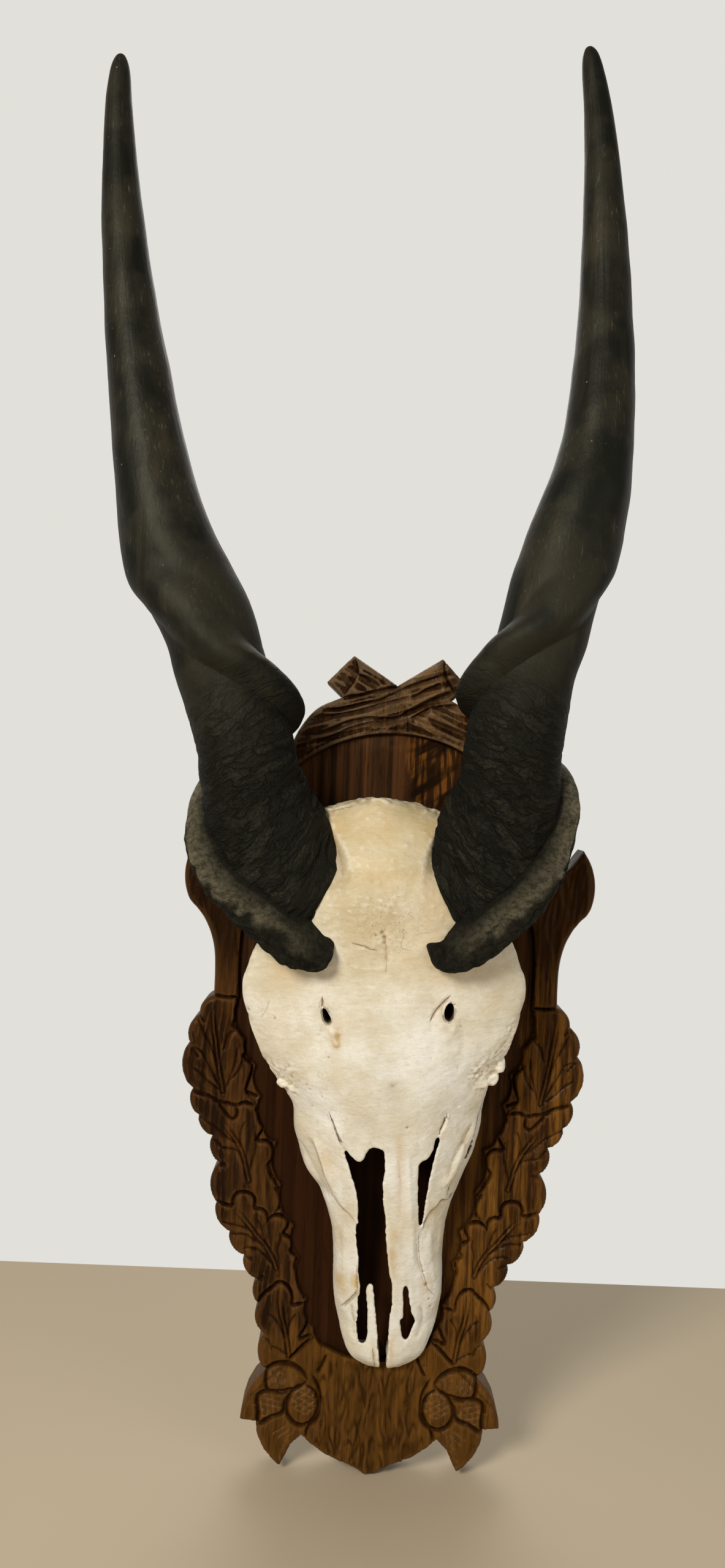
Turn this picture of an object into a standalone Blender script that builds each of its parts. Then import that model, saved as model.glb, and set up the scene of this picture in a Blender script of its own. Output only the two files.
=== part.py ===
# Eland horn trophy: a sawn upper skull with two spiral-keeled horns on a carved board.
# Run with: blender --background --python part.py
#
# The board's flat back lies on the plane Y = 0 and its carved face looks along -Y.
# +Z is up and +X is the viewer's right. Sizes below are in millimetres, and at()
# turns them into Blender's metres. "Front" is a height above the board's back.

import math

import bmesh
import bpy
from mathutils import Vector
from mathutils.geometry import delaunay_2d_cdt

MM = 0.001

# Board
BORDER_THICK = 30.0        # from the flat back to the face of the flanks and the arch
GROUND_THICK = 25.0        # the smooth recessed panel that the skull lies on
CARVED_STEP = 1.5          # width of the slope between two carved levels
LEAF_RISE = 2.4            # raised leaf above the border face
ACORN_RISE = 3.2
LOG_RISE = 2.5
ARCH_RADIUS = 114.5        # inner arch line over the panel
ARCH_TOP = 256.0

# Skull, in its own frame: x across, z along the face, front above the panel
SKULL_TURN = math.radians(2.6)     # it hangs a little crooked on the board
SKULL_SHIFT = 0.3                  # its middle beside the board's middle
SEAT_GAP = 0.3                     # clearance between two touching pieces
HOLLOW_STEP = 2.3                  # the hollow's sections lie between the skull's
BONE_WALL = 5.0                    # thickness of the muzzle's thin bone
EYE_CENTRE = (94.0, 40.0, 20.0)    # orbit hollow: x, z, front
EYE_RADII = (38.0, 30.0, 41.0)

# Horns
HORN_SIDES = 21            # points round a horn
HORN_RINGS = 44            # rings along a horn
KEEL_CROWDING = 1.7        # above 1, a ring's points crowd towards the keel


def at(x, z, front):
    """A point on the board: across, up, and above the flat back."""
    return Vector((x * MM, -front * MM, z * MM))


def on_skull(x, z, front):
    """A point of the skull's own frame, turned with the skull and set on the panel."""
    turned_x = SKULL_SHIFT + x * math.cos(SKULL_TURN) - z * math.sin(SKULL_TURN)
    turned_z = x * math.sin(SKULL_TURN) + z * math.cos(SKULL_TURN)
    return at(turned_x, turned_z, GROUND_THICK + front)


def clear_scene():
    for thing in list(bpy.data.objects):
        bpy.data.objects.remove(thing)


def material(name, colour, roughness):
    made = bpy.data.materials.new(name)
    made.use_nodes = True
    shader = made.node_tree.nodes["Principled BSDF"]
    shader.inputs["Base Color"].default_value = (*colour, 1.0)
    shader.inputs["Roughness"].default_value = roughness
    shader.inputs["Metallic"].default_value = 0.0
    return made


def add_object(name, vertices, faces, finish=None):
    mesh = bpy.data.meshes.new(name)
    mesh.from_pydata([tuple(v) for v in vertices], [], faces)
    mesh.validate()
    made = bpy.data.objects.new(name, mesh)
    bpy.context.scene.collection.objects.link(made)
    outward(mesh)
    if finish is not None:
        mesh.materials.append(finish)
    return made


def outward(mesh):
    shape = bmesh.new()
    shape.from_mesh(mesh)
    bmesh.ops.recalc_face_normals(shape, faces=shape.faces)
    if shape.calc_volume(signed=True) < 0:
        bmesh.ops.reverse_faces(shape, faces=shape.faces)
    shape.to_mesh(mesh)
    shape.free()


def as_cutter(thing):
    thing.hide_render = True
    thing.display_type = "WIRE"
    return thing


def boolean(thing, other, operation):
    step = thing.modifiers.new(f"{operation.lower()} {other.name}", "BOOLEAN")
    step.operation = operation
    step.object = other
    step.solver = "EXACT"


def lofted(rings):
    """Vertices and faces of a closed body through rings of equally many points."""
    sides = len(rings[0])
    vertices = [point for ring in rings for point in ring]
    faces = []
    for row in range(len(rings) - 1):
        for side in range(sides):
            after = (side + 1) % sides
            low, high = row * sides, (row + 1) * sides
            faces.append((low + side, low + after, high + after))
            faces.append((low + side, high + after, high + side))
    faces.append(tuple(range(sides)))
    last = (len(rings) - 1) * sides
    faces.append(tuple(range(last + sides - 1, last - 1, -1)))
    return vertices, faces


def curve_value(rows, key):
    """A smooth row between the rows of a table whose first column is the key."""
    rows = sorted(rows)
    if key <= rows[0][0]:
        return rows[0][1:]
    if key >= rows[-1][0]:
        return rows[-1][1:]
    spot = next(i for i in range(len(rows) - 1) if rows[i][0] <= key <= rows[i + 1][0])
    before, start = rows[max(spot - 1, 0)], rows[spot]
    end, after = rows[spot + 1], rows[min(spot + 2, len(rows) - 1)]
    span = end[0] - start[0]
    t = (key - start[0]) / span
    result = []
    for column in range(1, len(start)):
        slope_start = (end[column] - before[column]) / (end[0] - before[0]) * span
        slope_end = (after[column] - start[column]) / (after[0] - start[0]) * span
        result.append(
            (2 * t**3 - 3 * t**2 + 1) * start[column]
            + (t**3 - 2 * t**2 + t) * slope_start
            + (3 * t**2 - 2 * t**3) * end[column]
            + (t**3 - t**2) * slope_end
        )
    return tuple(result)


# The skull's sections, from the nuchal crest down to the muzzle's end:
# z, middle height, shoulder x and height, side x and height, x at the sawn back
SKULL_SECTIONS = [
    (206.5, 60, 22, 50, 24, 30, 22),
    (202.0, 64, 40, 50, 42, 26, 38),
    (194.0, 69, 53, 52, 54, 26, 50),
    (180.0, 80, 55, 57, 57, 30, 53),
    (160.0, 92, 57, 62, 58, 34, 55),
    (135.0, 96, 70, 72, 61, 36, 57),
    (108.0, 93, 89, 75, 68, 40, 60),
    (84.0, 91, 98, 74, 80, 46, 68),
    (66.0, 90, 98.5, 71, 88, 46, 76),
    (48.0, 88, 93, 68, 86, 40, 76),
    (28.0, 85, 87.5, 62, 82, 36, 74),
    (8.0, 81, 80, 54, 76, 32, 70),
    (-8.0, 77, 72, 50, 72, 28, 68),
    (-24.0, 71, 66, 44, 69, 24, 66),
    (-42.0, 65, 62, 40, 67, 20, 64),
    (-58.0, 60, 55, 36, 60, 18, 58),
    (-84.0, 53, 42, 32, 47, 15, 46),
    (-110.0, 46, 37, 28, 41, 13, 40),
    (-143.0, 38, 35, 24, 40, 11, 38),
    (-168.0, 32, 32, 20, 37, 10, 36),
    (-188.0, 27, 27, 17, 33, 9, 32),
    (-203.0, 23, 21, 15, 28, 8, 27),
    (-213.0, 19, 13, 13, 20, 7, 19),
    (-218.0, 13, 6, 9, 9, 6, 9),
]


def skull_section(row, grow=0.0, points=8, base=0.0):
    """One sawn-flat section, from its left foot over the top to its right foot."""
    z, top, shoulder_x, shoulder, side_x, side, foot_x = row
    table = [
        (0, 0, top + grow),
        (1, shoulder_x * 0.52, (top + grow) - (top - shoulder) * 0.22),
        (2, shoulder_x + grow, shoulder + grow * 0.4),
        (3, side_x + grow, side),
        (4, foot_x + grow, base),
    ]
    half = [curve_value(table, 4 * step / points) for step in range(points + 1)]
    left = [on_skull(-x, z, front) for x, front in reversed(half)]
    right = [on_skull(x, z, front) for x, front in half[1:]]
    return left + right


def skull_body(name, grow=0.0, base=SEAT_GAP):
    rings = [skull_section(row, grow, base=base) for row in SKULL_SECTIONS]
    return add_object(name, *lofted(rings))


def ball(name, centre, radii, segments, rings):
    """An egg-shaped body of the skull's own frame."""
    mesh = bpy.data.meshes.new(name)
    shape = bmesh.new()
    bmesh.ops.create_uvsphere(shape, u_segments=segments, v_segments=rings, radius=1.0)
    shape.to_mesh(mesh)
    shape.free()
    made = bpy.data.objects.new(name, mesh)
    bpy.context.scene.collection.objects.link(made)
    made.location = on_skull(*centre)
    made.rotation_euler = (0.0, -SKULL_TURN, 0.0)
    made.scale = (radii[0] * MM, radii[2] * MM, radii[1] * MM)
    return made


def prism(name, outline, low, high):
    """A straight-sided cutter through the skull, from its outline in x and z."""
    rings = [[on_skull(x, z, front) for x, z in outline] for front in (low, high)]
    return as_cutter(add_object(name, *lofted(rings)))


# The gap where the left nasal bone is missing, with the slot of the left premaxilla
NASAL_GAP = [
    (-37.5, -23), (-33.8, -29), (-30.4, -36), (-25.2, -45), (-21.7, -50), (-18.3, -52),
    (-13.8, -49), (-12.0, -44), (-9.9, -41), (-0.8, -44), (0.3, -69), (-1.8, -76),
    (0.4, -105), (2.5, -140), (4.6, -155), (2.3, -168), (0.3, -194), (-0.4, -225),
    (-5.0, -225), (-5.6, -202), (-6.8, -187), (-8.0, -167), (-10.6, -152), (-13.6, -156),
    (-13.4, -184), (-15.0, -193), (-17.5, -196), (-20.4, -191), (-21.4, -183),
    (-19.5, -165), (-16.9, -151), (-19.3, -138), (-20.3, -118), (-20.6, -95),
    (-21.8, -74), (-26.8, -58), (-33.5, -43), (-39.5, -31),
]
# The slit between the right nasal bone and the maxilla
NASAL_SLIT = [
    (42.0, -25), (36.4, -38), (30.7, -47), (23.8, -53), (22.9, -60), (23.5, -77),
    (24.2, -100), (28.4, -79), (32.0, -59), (37.4, -42), (43.6, -27),
]
# The hole in the right premaxilla
PALATE_HOLE = [
    (12.4, -153), (15.8, -154), (17.8, -162), (18.6, -169), (22.2, -177), (20.6, -184),
    (17.3, -190), (13.9, -193), (11.6, -190), (10.4, -178), (13.2, -176), (13.2, -168),
]
# The hole above each eye: x, z, half width, half length, tilt
BROW_HOLES = [
    (-41.0, 57.5, 3.0, 7.0, math.radians(14)),
    (44.6, 58.5, 3.6, 7.6, math.radians(-8)),
]


def brow_hole(name, x, z, half_width, half_length, tilt):
    outline = []
    for step in range(10):
        angle = 2 * math.pi * step / 10
        across, along = half_width * math.cos(angle), half_length * math.sin(angle)
        outline.append((
            x + across * math.cos(tilt) - along * math.sin(tilt),
            z + across * math.sin(tilt) + along * math.cos(tilt),
        ))
    return prism(name, outline, 45.0, 120.0)


def nose_hollow():
    """The space under the muzzle's bone, open to the sawn back."""
    rows = []
    for z, top, shoulder_x, shoulder, side_x, side, foot_x in SKULL_SECTIONS:
        if -200.0 < z < 20.0:
            wall = BONE_WALL
            rows.append((
                z + HOLLOW_STEP, top - wall, shoulder_x - wall, shoulder - wall,
                side_x - wall, side, foot_x - wall,
            ))
    rings = [skull_section(row, points=6, base=-10.0) for row in rows]
    return as_cutter(add_object("nose hollow", *lofted(rings)))


PEDICLES = [(-1, (66.0, 146.0, 56.0)), (1, (66.0, 146.0, 56.0))]
PEDICLE_RADII = (37.0, 42.0, 38.0)


def build_skull(bone):
    skull = skull_body("skull")
    skull.data.materials.append(bone)
    for side in (-1, 1):
        x, z, front = PEDICLES[0][1]
        pedicle = ball(f"pedicle {side}", (side * x, z, front), PEDICLE_RADII, 16, 9)
        boolean(skull, as_cutter(pedicle), "UNION")
    for side in (-1, 1):
        knob = ball(f"tear knob {side}", (side * 79.0, 5.0, 50.0), (6.5, 7.5, 6.0), 10, 6)
        boolean(skull, as_cutter(knob), "UNION")
    for side in (-1, 1):
        x, z, front = EYE_CENTRE
        eye = ball(f"orbit {side}", (side * x, z, front), EYE_RADII, 16, 10)
        boolean(skull, as_cutter(eye), "DIFFERENCE")
    boolean(skull, nose_hollow(), "DIFFERENCE")
    boolean(skull, prism("nasal gap", NASAL_GAP, -20.0, 120.0), "DIFFERENCE")
    boolean(skull, prism("nasal slit", NASAL_SLIT, -20.0, 120.0), "DIFFERENCE")
    boolean(skull, prism("palate hole", PALATE_HOLE, -20.0, 60.0), "DIFFERENCE")
    for number, hole in enumerate(BROW_HOLES):
        boolean(skull, brow_hole(f"brow hole {number}", *hole), "DIFFERENCE")
    return skull


# The horns' cores: z, distance out from the skull's middle, front, radius
HORN_BASE = [
    (118, 46, 56, 2), (125, 51, 60, 10), (132, 56, 64, 21), (140, 61, 67, 31),
    (150, 66, 69, 38), (160, 70, 70, 40), (172, 75.5, 71, 39.5),
]
LEFT_CORE = HORN_BASE + [
    (190, 82.5, 71, 38), (212, 90, 70, 35.5), (228, 94.5, 69, 35), (250, 99, 68, 34.5),
    (283, 110, 65, 32.5), (305, 116.5, 63, 33), (325, 121.5, 62, 33), (342, 128, 61, 33),
    (359, 137, 59, 33), (387, 149.5, 57, 32), (416, 158.5, 55, 30), (459, 167, 51, 26.5),
    (502, 173, 47, 23.7), (546, 179, 43, 20.8), (590, 184, 39, 18), (634, 188, 36, 15.7),
    (678, 190.5, 33, 12.6), (723, 191.5, 31, 9.5), (749, 190.5, 30, 5.8), (760, 190, 30, 1.5),
]
RIGHT_CORE = HORN_BASE + [
    (190, 80.5, 71, 37.5), (207, 87, 70, 34.5), (235, 91.5, 69, 34.5), (266, 98, 67, 34),
    (297, 107, 64, 31), (323, 115.5, 62, 32), (345, 121.5, 60, 32), (362, 126.5, 59, 32),
    (385, 134.5, 57, 31.5), (402, 141, 56, 31), (428, 150.5, 54, 29.5), (457, 157, 51, 26.5),
    (485, 160.5, 49, 24.3), (529, 164, 45, 21.6), (573, 166, 41, 18.7), (617, 166.5, 38, 16.6),
    (661, 166, 35, 13.7), (691, 165, 33, 11.9), (721, 163, 31, 9.5), (749, 159.5, 30, 6),
    (763, 158, 30, 1.5),
]
# The keel: z, its angle round the core in degrees (0 inner, 90 front, 180 outer),
# its height over the core, its half width in degrees, and how rounded its flanks are
HORN_KEEL = [
    (118, 60, 30, 26, 0.5), (125, 76, 42, 26, 0.5), (132, 85, 31, 25, 0.5),
    (140, 91, 25, 24, 0.5), (150, 100, 19, 23, 0.55), (160, 112, 16.5, 23, 0.6),
    (172, 126, 16.5, 22, 0.6), (184, 145, 18.5, 22, 0.6), (195, 162, 17.5, 22, 0.6),
    (210, 186, 15.5, 23, 0.7), (230, 232, 16, 26, 0.8), (250, 300, 16, 30, 0.9),
    (267, 352, 15, 34, 1.0), (296, 402, 13, 38, 1.3), (322, 446, 10, 42, 1.6),
    (345, 473, 8, 48, 1.8), (360, 494, 7, 54, 2.0), (380, 528, 6, 64, 2.0),
    (410, 572, 4, 74, 2.0), (460, 610, 1.5, 80, 2.0), (520, 640, 0, 80, 2.0),
]
# How much higher than the table each horn's keel sits, by z
LEFT_LIFT = [(140, 0), (200, -3), (260, -6.5), (325, -5), (352, 3), (385, 0)]
RIGHT_LIFT = [(140, 0), (200, 0), (260, 6.5), (400, 6.5)]
# How far each ring dips at its front, in degrees: the rim is oblique at the skull
RING_DIP = [
    (118, 30), (125, 32), (132, 38), (140, 42), (160, 42), (195, 38), (210, 30),
    (235, 12), (262, 0),
]


def horn_centre(z, side):
    out, front, radius = curve_value(RIGHT_CORE if side > 0 else LEFT_CORE, z)
    return side * out, front, radius


def horn_ring(z, side, sides=HORN_SIDES):
    """One ring of a horn: a round core with the keel standing on it."""
    x, front, radius = horn_centre(z, side)
    x_up, front_up, _ = horn_centre(z + 1.0, side)
    x_down, front_down, _ = horn_centre(z - 1.0, side)
    along = Vector((x_up - x_down, 2.0, front_up - front_down)).normalized()
    lift = curve_value(RIGHT_LIFT if side > 0 else LEFT_LIFT, z)[0]
    keel_at, keel_height, keel_width, flank = curve_value(HORN_KEEL, z - lift)
    dip = math.radians(curve_value(RING_DIP, z)[0])
    outer = Vector((along.y, -along.x, 0.0)).normalized() * side
    ahead = Vector((0.0, -math.sin(dip), math.cos(dip)))
    ring = []
    for step in range(sides):
        share = 2.0 * step / sides - 1.0
        away = math.copysign(180.0 * abs(share) ** KEEL_CROWDING, share)
        reach = radius + keel_height * max(1.0 - (away / keel_width) ** 2, 0.0) ** flank
        turn = math.radians(keel_at + away)
        offset = outer * (-math.cos(turn) * reach) + ahead * (math.sin(turn) * reach)
        ring.append(on_skull(x + offset.x, z + offset.y, front + offset.z))
    return ring


def build_horn(name, side, sheath, seats):
    core = RIGHT_CORE if side > 0 else LEFT_CORE
    low, high = core[0][0], core[-1][0]
    rings = []
    for step in range(HORN_RINGS + 1):
        share = step / HORN_RINGS
        rings.append(horn_ring(low + (high - low) * share**1.35, side))
    horn = add_object(name, *lofted(rings), sheath)
    for seat in seats:
        boolean(horn, seat, "DIFFERENCE")
    return horn


def horn_seats():
    """The skull's outside with the touching gap added, for the horns' rims."""
    seats = [as_cutter(skull_body("skull seat", grow=SEAT_GAP))]
    x, z, front = PEDICLES[0][1]
    for side in (-1, 1):
        radii = tuple(radius + SEAT_GAP for radius in PEDICLE_RADII)
        seat = ball(f"pedicle seat {side}", (side * x, z, front), radii, 16, 9)
        seats.append(as_cutter(seat))
    return seats


# Board outline, right half, from the top middle down: arch, arm and leaf tip
CROWN = [
    (0, 292), (34, 314), (54, 293), (42, 282), (62, 271.5), (77, 250), (83, 225),
    (84, 200), (90, 172), (104, 153), (120, 149), (136, 157),
]
ARM_TIP = [
    (147.7, 171), (153.5, 161), (156.5, 151), (157.4, 141), (156, 131), (152.6, 122.5),
    (146, 115.5), (140, 107), (135.5, 97), (132.8, 86), (131.6, 72), (131.6, 50),
]
# Notches between the leaf lobes down the flank, each lobe an arc between two
FLANK_NOTCHES = [
    (131.6, 50), (141.6, 35), (148.5, 13.5), (145.0, -22), (139.5, -42), (128.5, -57.5),
    (122.3, -78), (123.5, -108), (112.6, -130), (101.0, -148), (90.6, -166),
    (88.6, -185), (83.2, -207.5), (81.0, -236),
]
LOBE_BULGE = 0.20          # lobe height as a share of its chord
ACORN_TIPS = [
    (90, -246), (95.5, -256), (98.5, -266), (99.3, -273.5), (87, -275), (86, -284),
    (81, -295), (74, -303), (68, -308), (64.5, -302), (60, -292), (52, -284),
]
FOOT = [(44, -291), (34, -298), (22, -303), (12, -307), (4, -312)]
# Notches of the leaves' inner edge, round the panel
PANEL_NOTCHES = [
    (113, 49), (107, 17), (98, -3), (93, -26), (90, -51), (80, -61), (75, -93),
    (64, -124), (59.5, -149), (52, -180), (46, -202), (36, -216),
]
PANEL_FOOT = [(22, -222), (0, -226)]
PANEL_SIDE = [(78, 220), (79, 195), (86, 160), (100, 135), (111, 110), (113.5, 80)]
# Raised leaves: base x and z, tip x and z, half width
LEAVES = [
    (60.5, -222, 74, -166, 14.5),
    (74, -158, 106, -96, 17.0),
    (99, -86, 138, -30, 17.5),
    (121, -25, 128, 42, 19.5),
]
LEAF_LOBES = 4
MIDRIB_HALF = 2.0          # a leaf is never narrower than this beside its midrib
# Acorns: x, z, half width, half height, tilt in degrees
ACORNS = [(65, -241, 15, 9.5, -8), (73.5, -263.5, 11.5, 10.5, 0), (50.5, -260.5, 9.5, 14, 18)]
LOGS = [[(4, 287), (33, 308.5), (48.5, 293), (36, 279)]]


def lobed(notches, bulge, steps=3):
    """Arcs between the notches, each standing out to the left of its chord."""
    points = [notches[0]]
    for start, end in zip(notches, notches[1:]):
        chord = Vector(end) - Vector(start)
        out = Vector((-chord.y, chord.x))
        for step in range(1, steps + 1):
            share = step / (steps + 1)
            lift = bulge * 4 * share * (1 - share)
            point = Vector(start) + chord * share + out * lift
            points.append((point.x, point.y))
        points.append(end)
    return points


def mirrored(half):
    """A closed loop from its right half, whose ends lie on or near the middle."""
    left = [(-x, z) for x, z in reversed(half) if x > 0.01]
    return list(half) + left


def outer_outline():
    flank = lobed(FLANK_NOTCHES, LOBE_BULGE)
    return mirrored(CROWN + ARM_TIP[:-1] + flank + ACORN_TIPS + FOOT)


def panel_outline():
    centre = ARCH_TOP - ARCH_RADIUS
    arch = []
    for step in range(5):
        angle = math.radians(90 - step * 10.4)
        arch.append((ARCH_RADIUS * math.cos(angle), centre + ARCH_RADIUS * math.sin(angle)))
    edge = lobed(PANEL_NOTCHES, 0.16, steps=1)
    return mirrored(arch + PANEL_SIDE + edge + PANEL_FOOT)


def leaf_outline(base, tip, half_width, side, inset=0.0):
    """An oak leaf: lobes down both sides of its midrib."""
    start, end = Vector(base), Vector(tip)
    along = (end - start).normalized()
    across = Vector((-along.y, along.x))
    length = (end - start).length
    steps = LEAF_LOBES * 4
    halves = ([], [])
    for step in range(steps + 1):
        share = step / steps
        lobe = abs(math.sin(math.pi * LEAF_LOBES * share)) ** 0.6
        width = half_width * math.sin(math.pi * (0.12 + 0.80 * share)) ** 0.8
        width = max(width * (0.66 + 0.34 * lobe) - inset, MIDRIB_HALF)
        spot = start + along * (inset + (length - 2 * inset) * share)
        for half, sign in zip(halves, (1, -1)):
            point = spot + across * (sign * width)
            half.append((side * point.x, point.y))
    return halves[0] + list(reversed(halves[1]))


def ellipse(x, z, half_width, half_height, tilt, side, points=12):
    loop = []
    turn = math.radians(tilt)
    for step in range(points):
        angle = 2 * math.pi * step / points
        across, up = half_width * math.cos(angle), half_height * math.sin(angle)
        loop.append((
            side * (x + across * math.cos(turn) - up * math.sin(turn)),
            z + across * math.sin(turn) + up * math.cos(turn),
        ))
    return loop


def inward(loop, distance):
    """The loop moved inside by a distance, point by point."""
    area = sum(a[0] * b[1] - b[0] * a[1] for a, b in zip(loop, loop[1:] + loop[:1]))
    turn = 1.0 if area > 0 else -1.0
    moved = []
    for index, point in enumerate(loop):
        before, after = Vector(loop[index - 1]), Vector(loop[(index + 1) % len(loop)])
        along = (after - before).normalized()
        normal = Vector((-along.y, along.x)) * turn
        moved.append(tuple(Vector(point) + normal * distance))
    return moved


def carved_loops():
    """Every carved edge as (loop, level) with levels above the flat back."""
    panel = panel_outline()
    loops = [(panel, BORDER_THICK), (inward(panel, CARVED_STEP), GROUND_THICK)]
    for side in (-1, 1):
        for base_x, base_z, tip_x, tip_z, half_width in LEAVES:
            for inset, rise in ((0.0, 0.0), (2.6, LEAF_RISE)):
                leaf = leaf_outline((base_x, base_z), (tip_x, tip_z), half_width, side, inset)
                loops.append((leaf, BORDER_THICK + rise))
        for acorn in ACORNS:
            loop = ellipse(*acorn, side)
            loops.append((loop, BORDER_THICK))
            loops.append((inward(loop, 2.4), BORDER_THICK + ACORN_RISE))
        for log in LOGS:
            loop = [(side * x, z) for x, z in log]
            loops.append((loop, BORDER_THICK))
            loops.append((inward(loop, 2.0), BORDER_THICK + LOG_RISE))
    return loops


def flat_triangles(outline, loops):
    """Constrained triangles inside the outline, with every loop as an edge."""
    points, edges = [], []
    for loop in [outline] + loops:
        first = len(points)
        points.extend(Vector(point) for point in loop)
        count = len(loop)
        edges.extend((first + i, first + (i + 1) % count) for i in range(count))
    result = delaunay_2d_cdt(points, edges, [], 1, 1e-5)
    return result[0], result[2], result[3]


def build_board(wood):
    outline = outer_outline()
    loops = carved_loops()
    spots, faces, sources = flat_triangles(outline, [loop for loop, _ in loops])
    levels = [BORDER_THICK] * len(outline)
    for loop, level in loops:
        levels.extend([level] * len(loop))
    vertices = []
    for spot, source in zip(spots, sources):
        level = levels[source[0]] if source else BORDER_THICK
        vertices.append(at(spot.x, spot.y, level))
    rim = edge_of(faces)
    back_spots, back_faces, _ = flat_triangles([tuple(spots[i]) for i in rim], [])
    first = len(vertices)
    vertices.extend(at(spot.x, spot.y, 0.0) for spot in back_spots)
    faces = [tuple(face) for face in faces]
    faces.extend(tuple(first + i for i in reversed(face)) for face in back_faces)
    for index, corner in enumerate(rim):
        after = (index + 1) % len(rim)
        faces.append((corner, rim[after], first + after, first + index))
    return add_object("board", vertices, faces, wood)


def edge_of(faces):
    """The outer edge of a flat patch of triangles, as one loop of corners."""
    used = set()
    for face in faces:
        for index, corner in enumerate(face):
            used.add((corner, face[(index + 1) % len(face)]))
    following = {a: b for a, b in used if (b, a) not in used}
    start = next(iter(following))
    loop = [start]
    while following[loop[-1]] != start:
        loop.append(following[loop[-1]])
    return loop


def smooth(thing, degrees):
    thing.data.shade_smooth()
    thing.data.set_sharp_from_angle(angle=math.radians(degrees))


def main():
    clear_scene()
    bone = material("bleached bone", (0.80, 0.74, 0.60), 0.6)
    sheath = material("dark horn", (0.035, 0.032, 0.028), 0.45)
    wood = material("stained oak", (0.16, 0.07, 0.03), 0.4)
    build_board(wood)
    smooth(build_skull(bone), 40)
    seats = horn_seats()
    smooth(build_horn("horn_left", -1, sheath, seats), 50)
    smooth(build_horn("horn_right", 1, sheath, seats), 50)


main()
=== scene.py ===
# %% [markdown]
# # An eland's skull and horns on a carved oak board
#
# We build a hunting trophy: a sawn, bleached antelope skull with two long twisted
# horns, screwed to a dark board that is carved with oak leaves and acorns. Nothing on
# it is a box or a cylinder, so every shape comes from curves, tables of sections and
# height formulas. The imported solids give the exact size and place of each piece.

import itertools
import math

import bmesh
import bpy
import numpy as np
from mathutils import Matrix, Vector
from mathutils.geometry import delaunay_2d_cdt
from mathutils.kdtree import KDTree


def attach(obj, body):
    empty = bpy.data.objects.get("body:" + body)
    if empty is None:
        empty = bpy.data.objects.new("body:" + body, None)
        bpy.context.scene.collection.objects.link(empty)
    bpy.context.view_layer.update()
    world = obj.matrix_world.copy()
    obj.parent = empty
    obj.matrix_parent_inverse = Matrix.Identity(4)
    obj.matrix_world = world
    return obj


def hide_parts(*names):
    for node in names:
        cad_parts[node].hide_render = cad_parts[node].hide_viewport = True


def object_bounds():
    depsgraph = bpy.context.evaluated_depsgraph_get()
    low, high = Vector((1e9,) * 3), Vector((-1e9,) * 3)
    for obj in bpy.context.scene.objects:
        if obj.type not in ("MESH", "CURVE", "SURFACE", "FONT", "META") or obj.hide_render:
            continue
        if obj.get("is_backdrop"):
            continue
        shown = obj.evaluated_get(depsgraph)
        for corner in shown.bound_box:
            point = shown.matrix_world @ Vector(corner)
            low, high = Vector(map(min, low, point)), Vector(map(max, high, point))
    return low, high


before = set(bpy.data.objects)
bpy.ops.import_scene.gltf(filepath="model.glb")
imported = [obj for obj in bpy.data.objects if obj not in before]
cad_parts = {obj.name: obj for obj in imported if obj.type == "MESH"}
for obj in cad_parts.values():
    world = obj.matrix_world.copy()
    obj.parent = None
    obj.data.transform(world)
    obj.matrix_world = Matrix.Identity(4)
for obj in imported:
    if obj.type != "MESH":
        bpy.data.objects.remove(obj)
cad_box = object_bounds()
print("CAD nodes:", ", ".join(sorted(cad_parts)))

# %% [markdown]
# ## Sizes and directions
#
# The board's flat back lies on the plane Y = 0 and its carved face looks along -Y.
# We think in millimetres: x across, z up, and front, the height above a flat back.
# Blender counts in metres, so two small functions turn our numbers into its own.
# The skull has a frame of its own, because the real one hangs a little crooked.

# %% Driving sizes and the two frames
MM = 0.001
BORDER = 30.0              # board thickness at the flanks and the arch
GROUND = 25.0              # thickness at the smooth recessed panel
ARCH_RADIUS = 114.5
ARCH_TOP = 256.0
SKULL_TURN = math.radians(2.6)
SKULL_SHIFT = 0.3
BONE_WALL = 3.4            # thin bone round the nose
SKULL_VOXEL = 1.05         # size of the skull's finest shapes
BOARD_GRID = 1.05          # spacing of the carved surface's points
PANEL_GRID = 3.4           # the smooth panel needs fewer points


def place(x, z, front):
    """Points on the board in Blender's metres, from arrays in millimetres."""
    x, z, front = np.broadcast_arrays(x, z, front)
    return np.stack([x, -front, z], axis=-1) * MM


def place_on_skull(x, z, front):
    """The same for the skull's own frame, which is turned and lies on the panel."""
    cosine, sine = math.cos(SKULL_TURN), math.sin(SKULL_TURN)
    return place(SKULL_SHIFT + x * cosine - z * sine, x * sine + z * cosine, front + GROUND)


def in_skull_frame(points):
    """Millimetres in the skull's frame, from points in metres."""
    x = points[:, 0] / MM - SKULL_SHIFT
    z = points[:, 2] / MM
    cosine, sine = math.cos(SKULL_TURN), math.sin(SKULL_TURN)
    return x * cosine + z * sine, z * cosine - x * sine, -points[:, 1] / MM - GROUND


# %% [markdown]
# ## Three helpers that shape everything
#
# A skull or a horn is described best by a few measured sections with smooth change
# between them, so the first helper reads a table with a smooth curve. Natural surfaces
# are never even, so the second makes soft lumps of any size, the same on every run.
# The third measures how far points are from a drawn line, which is how cuts, cracks
# and ridges are laid on a surface.

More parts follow.
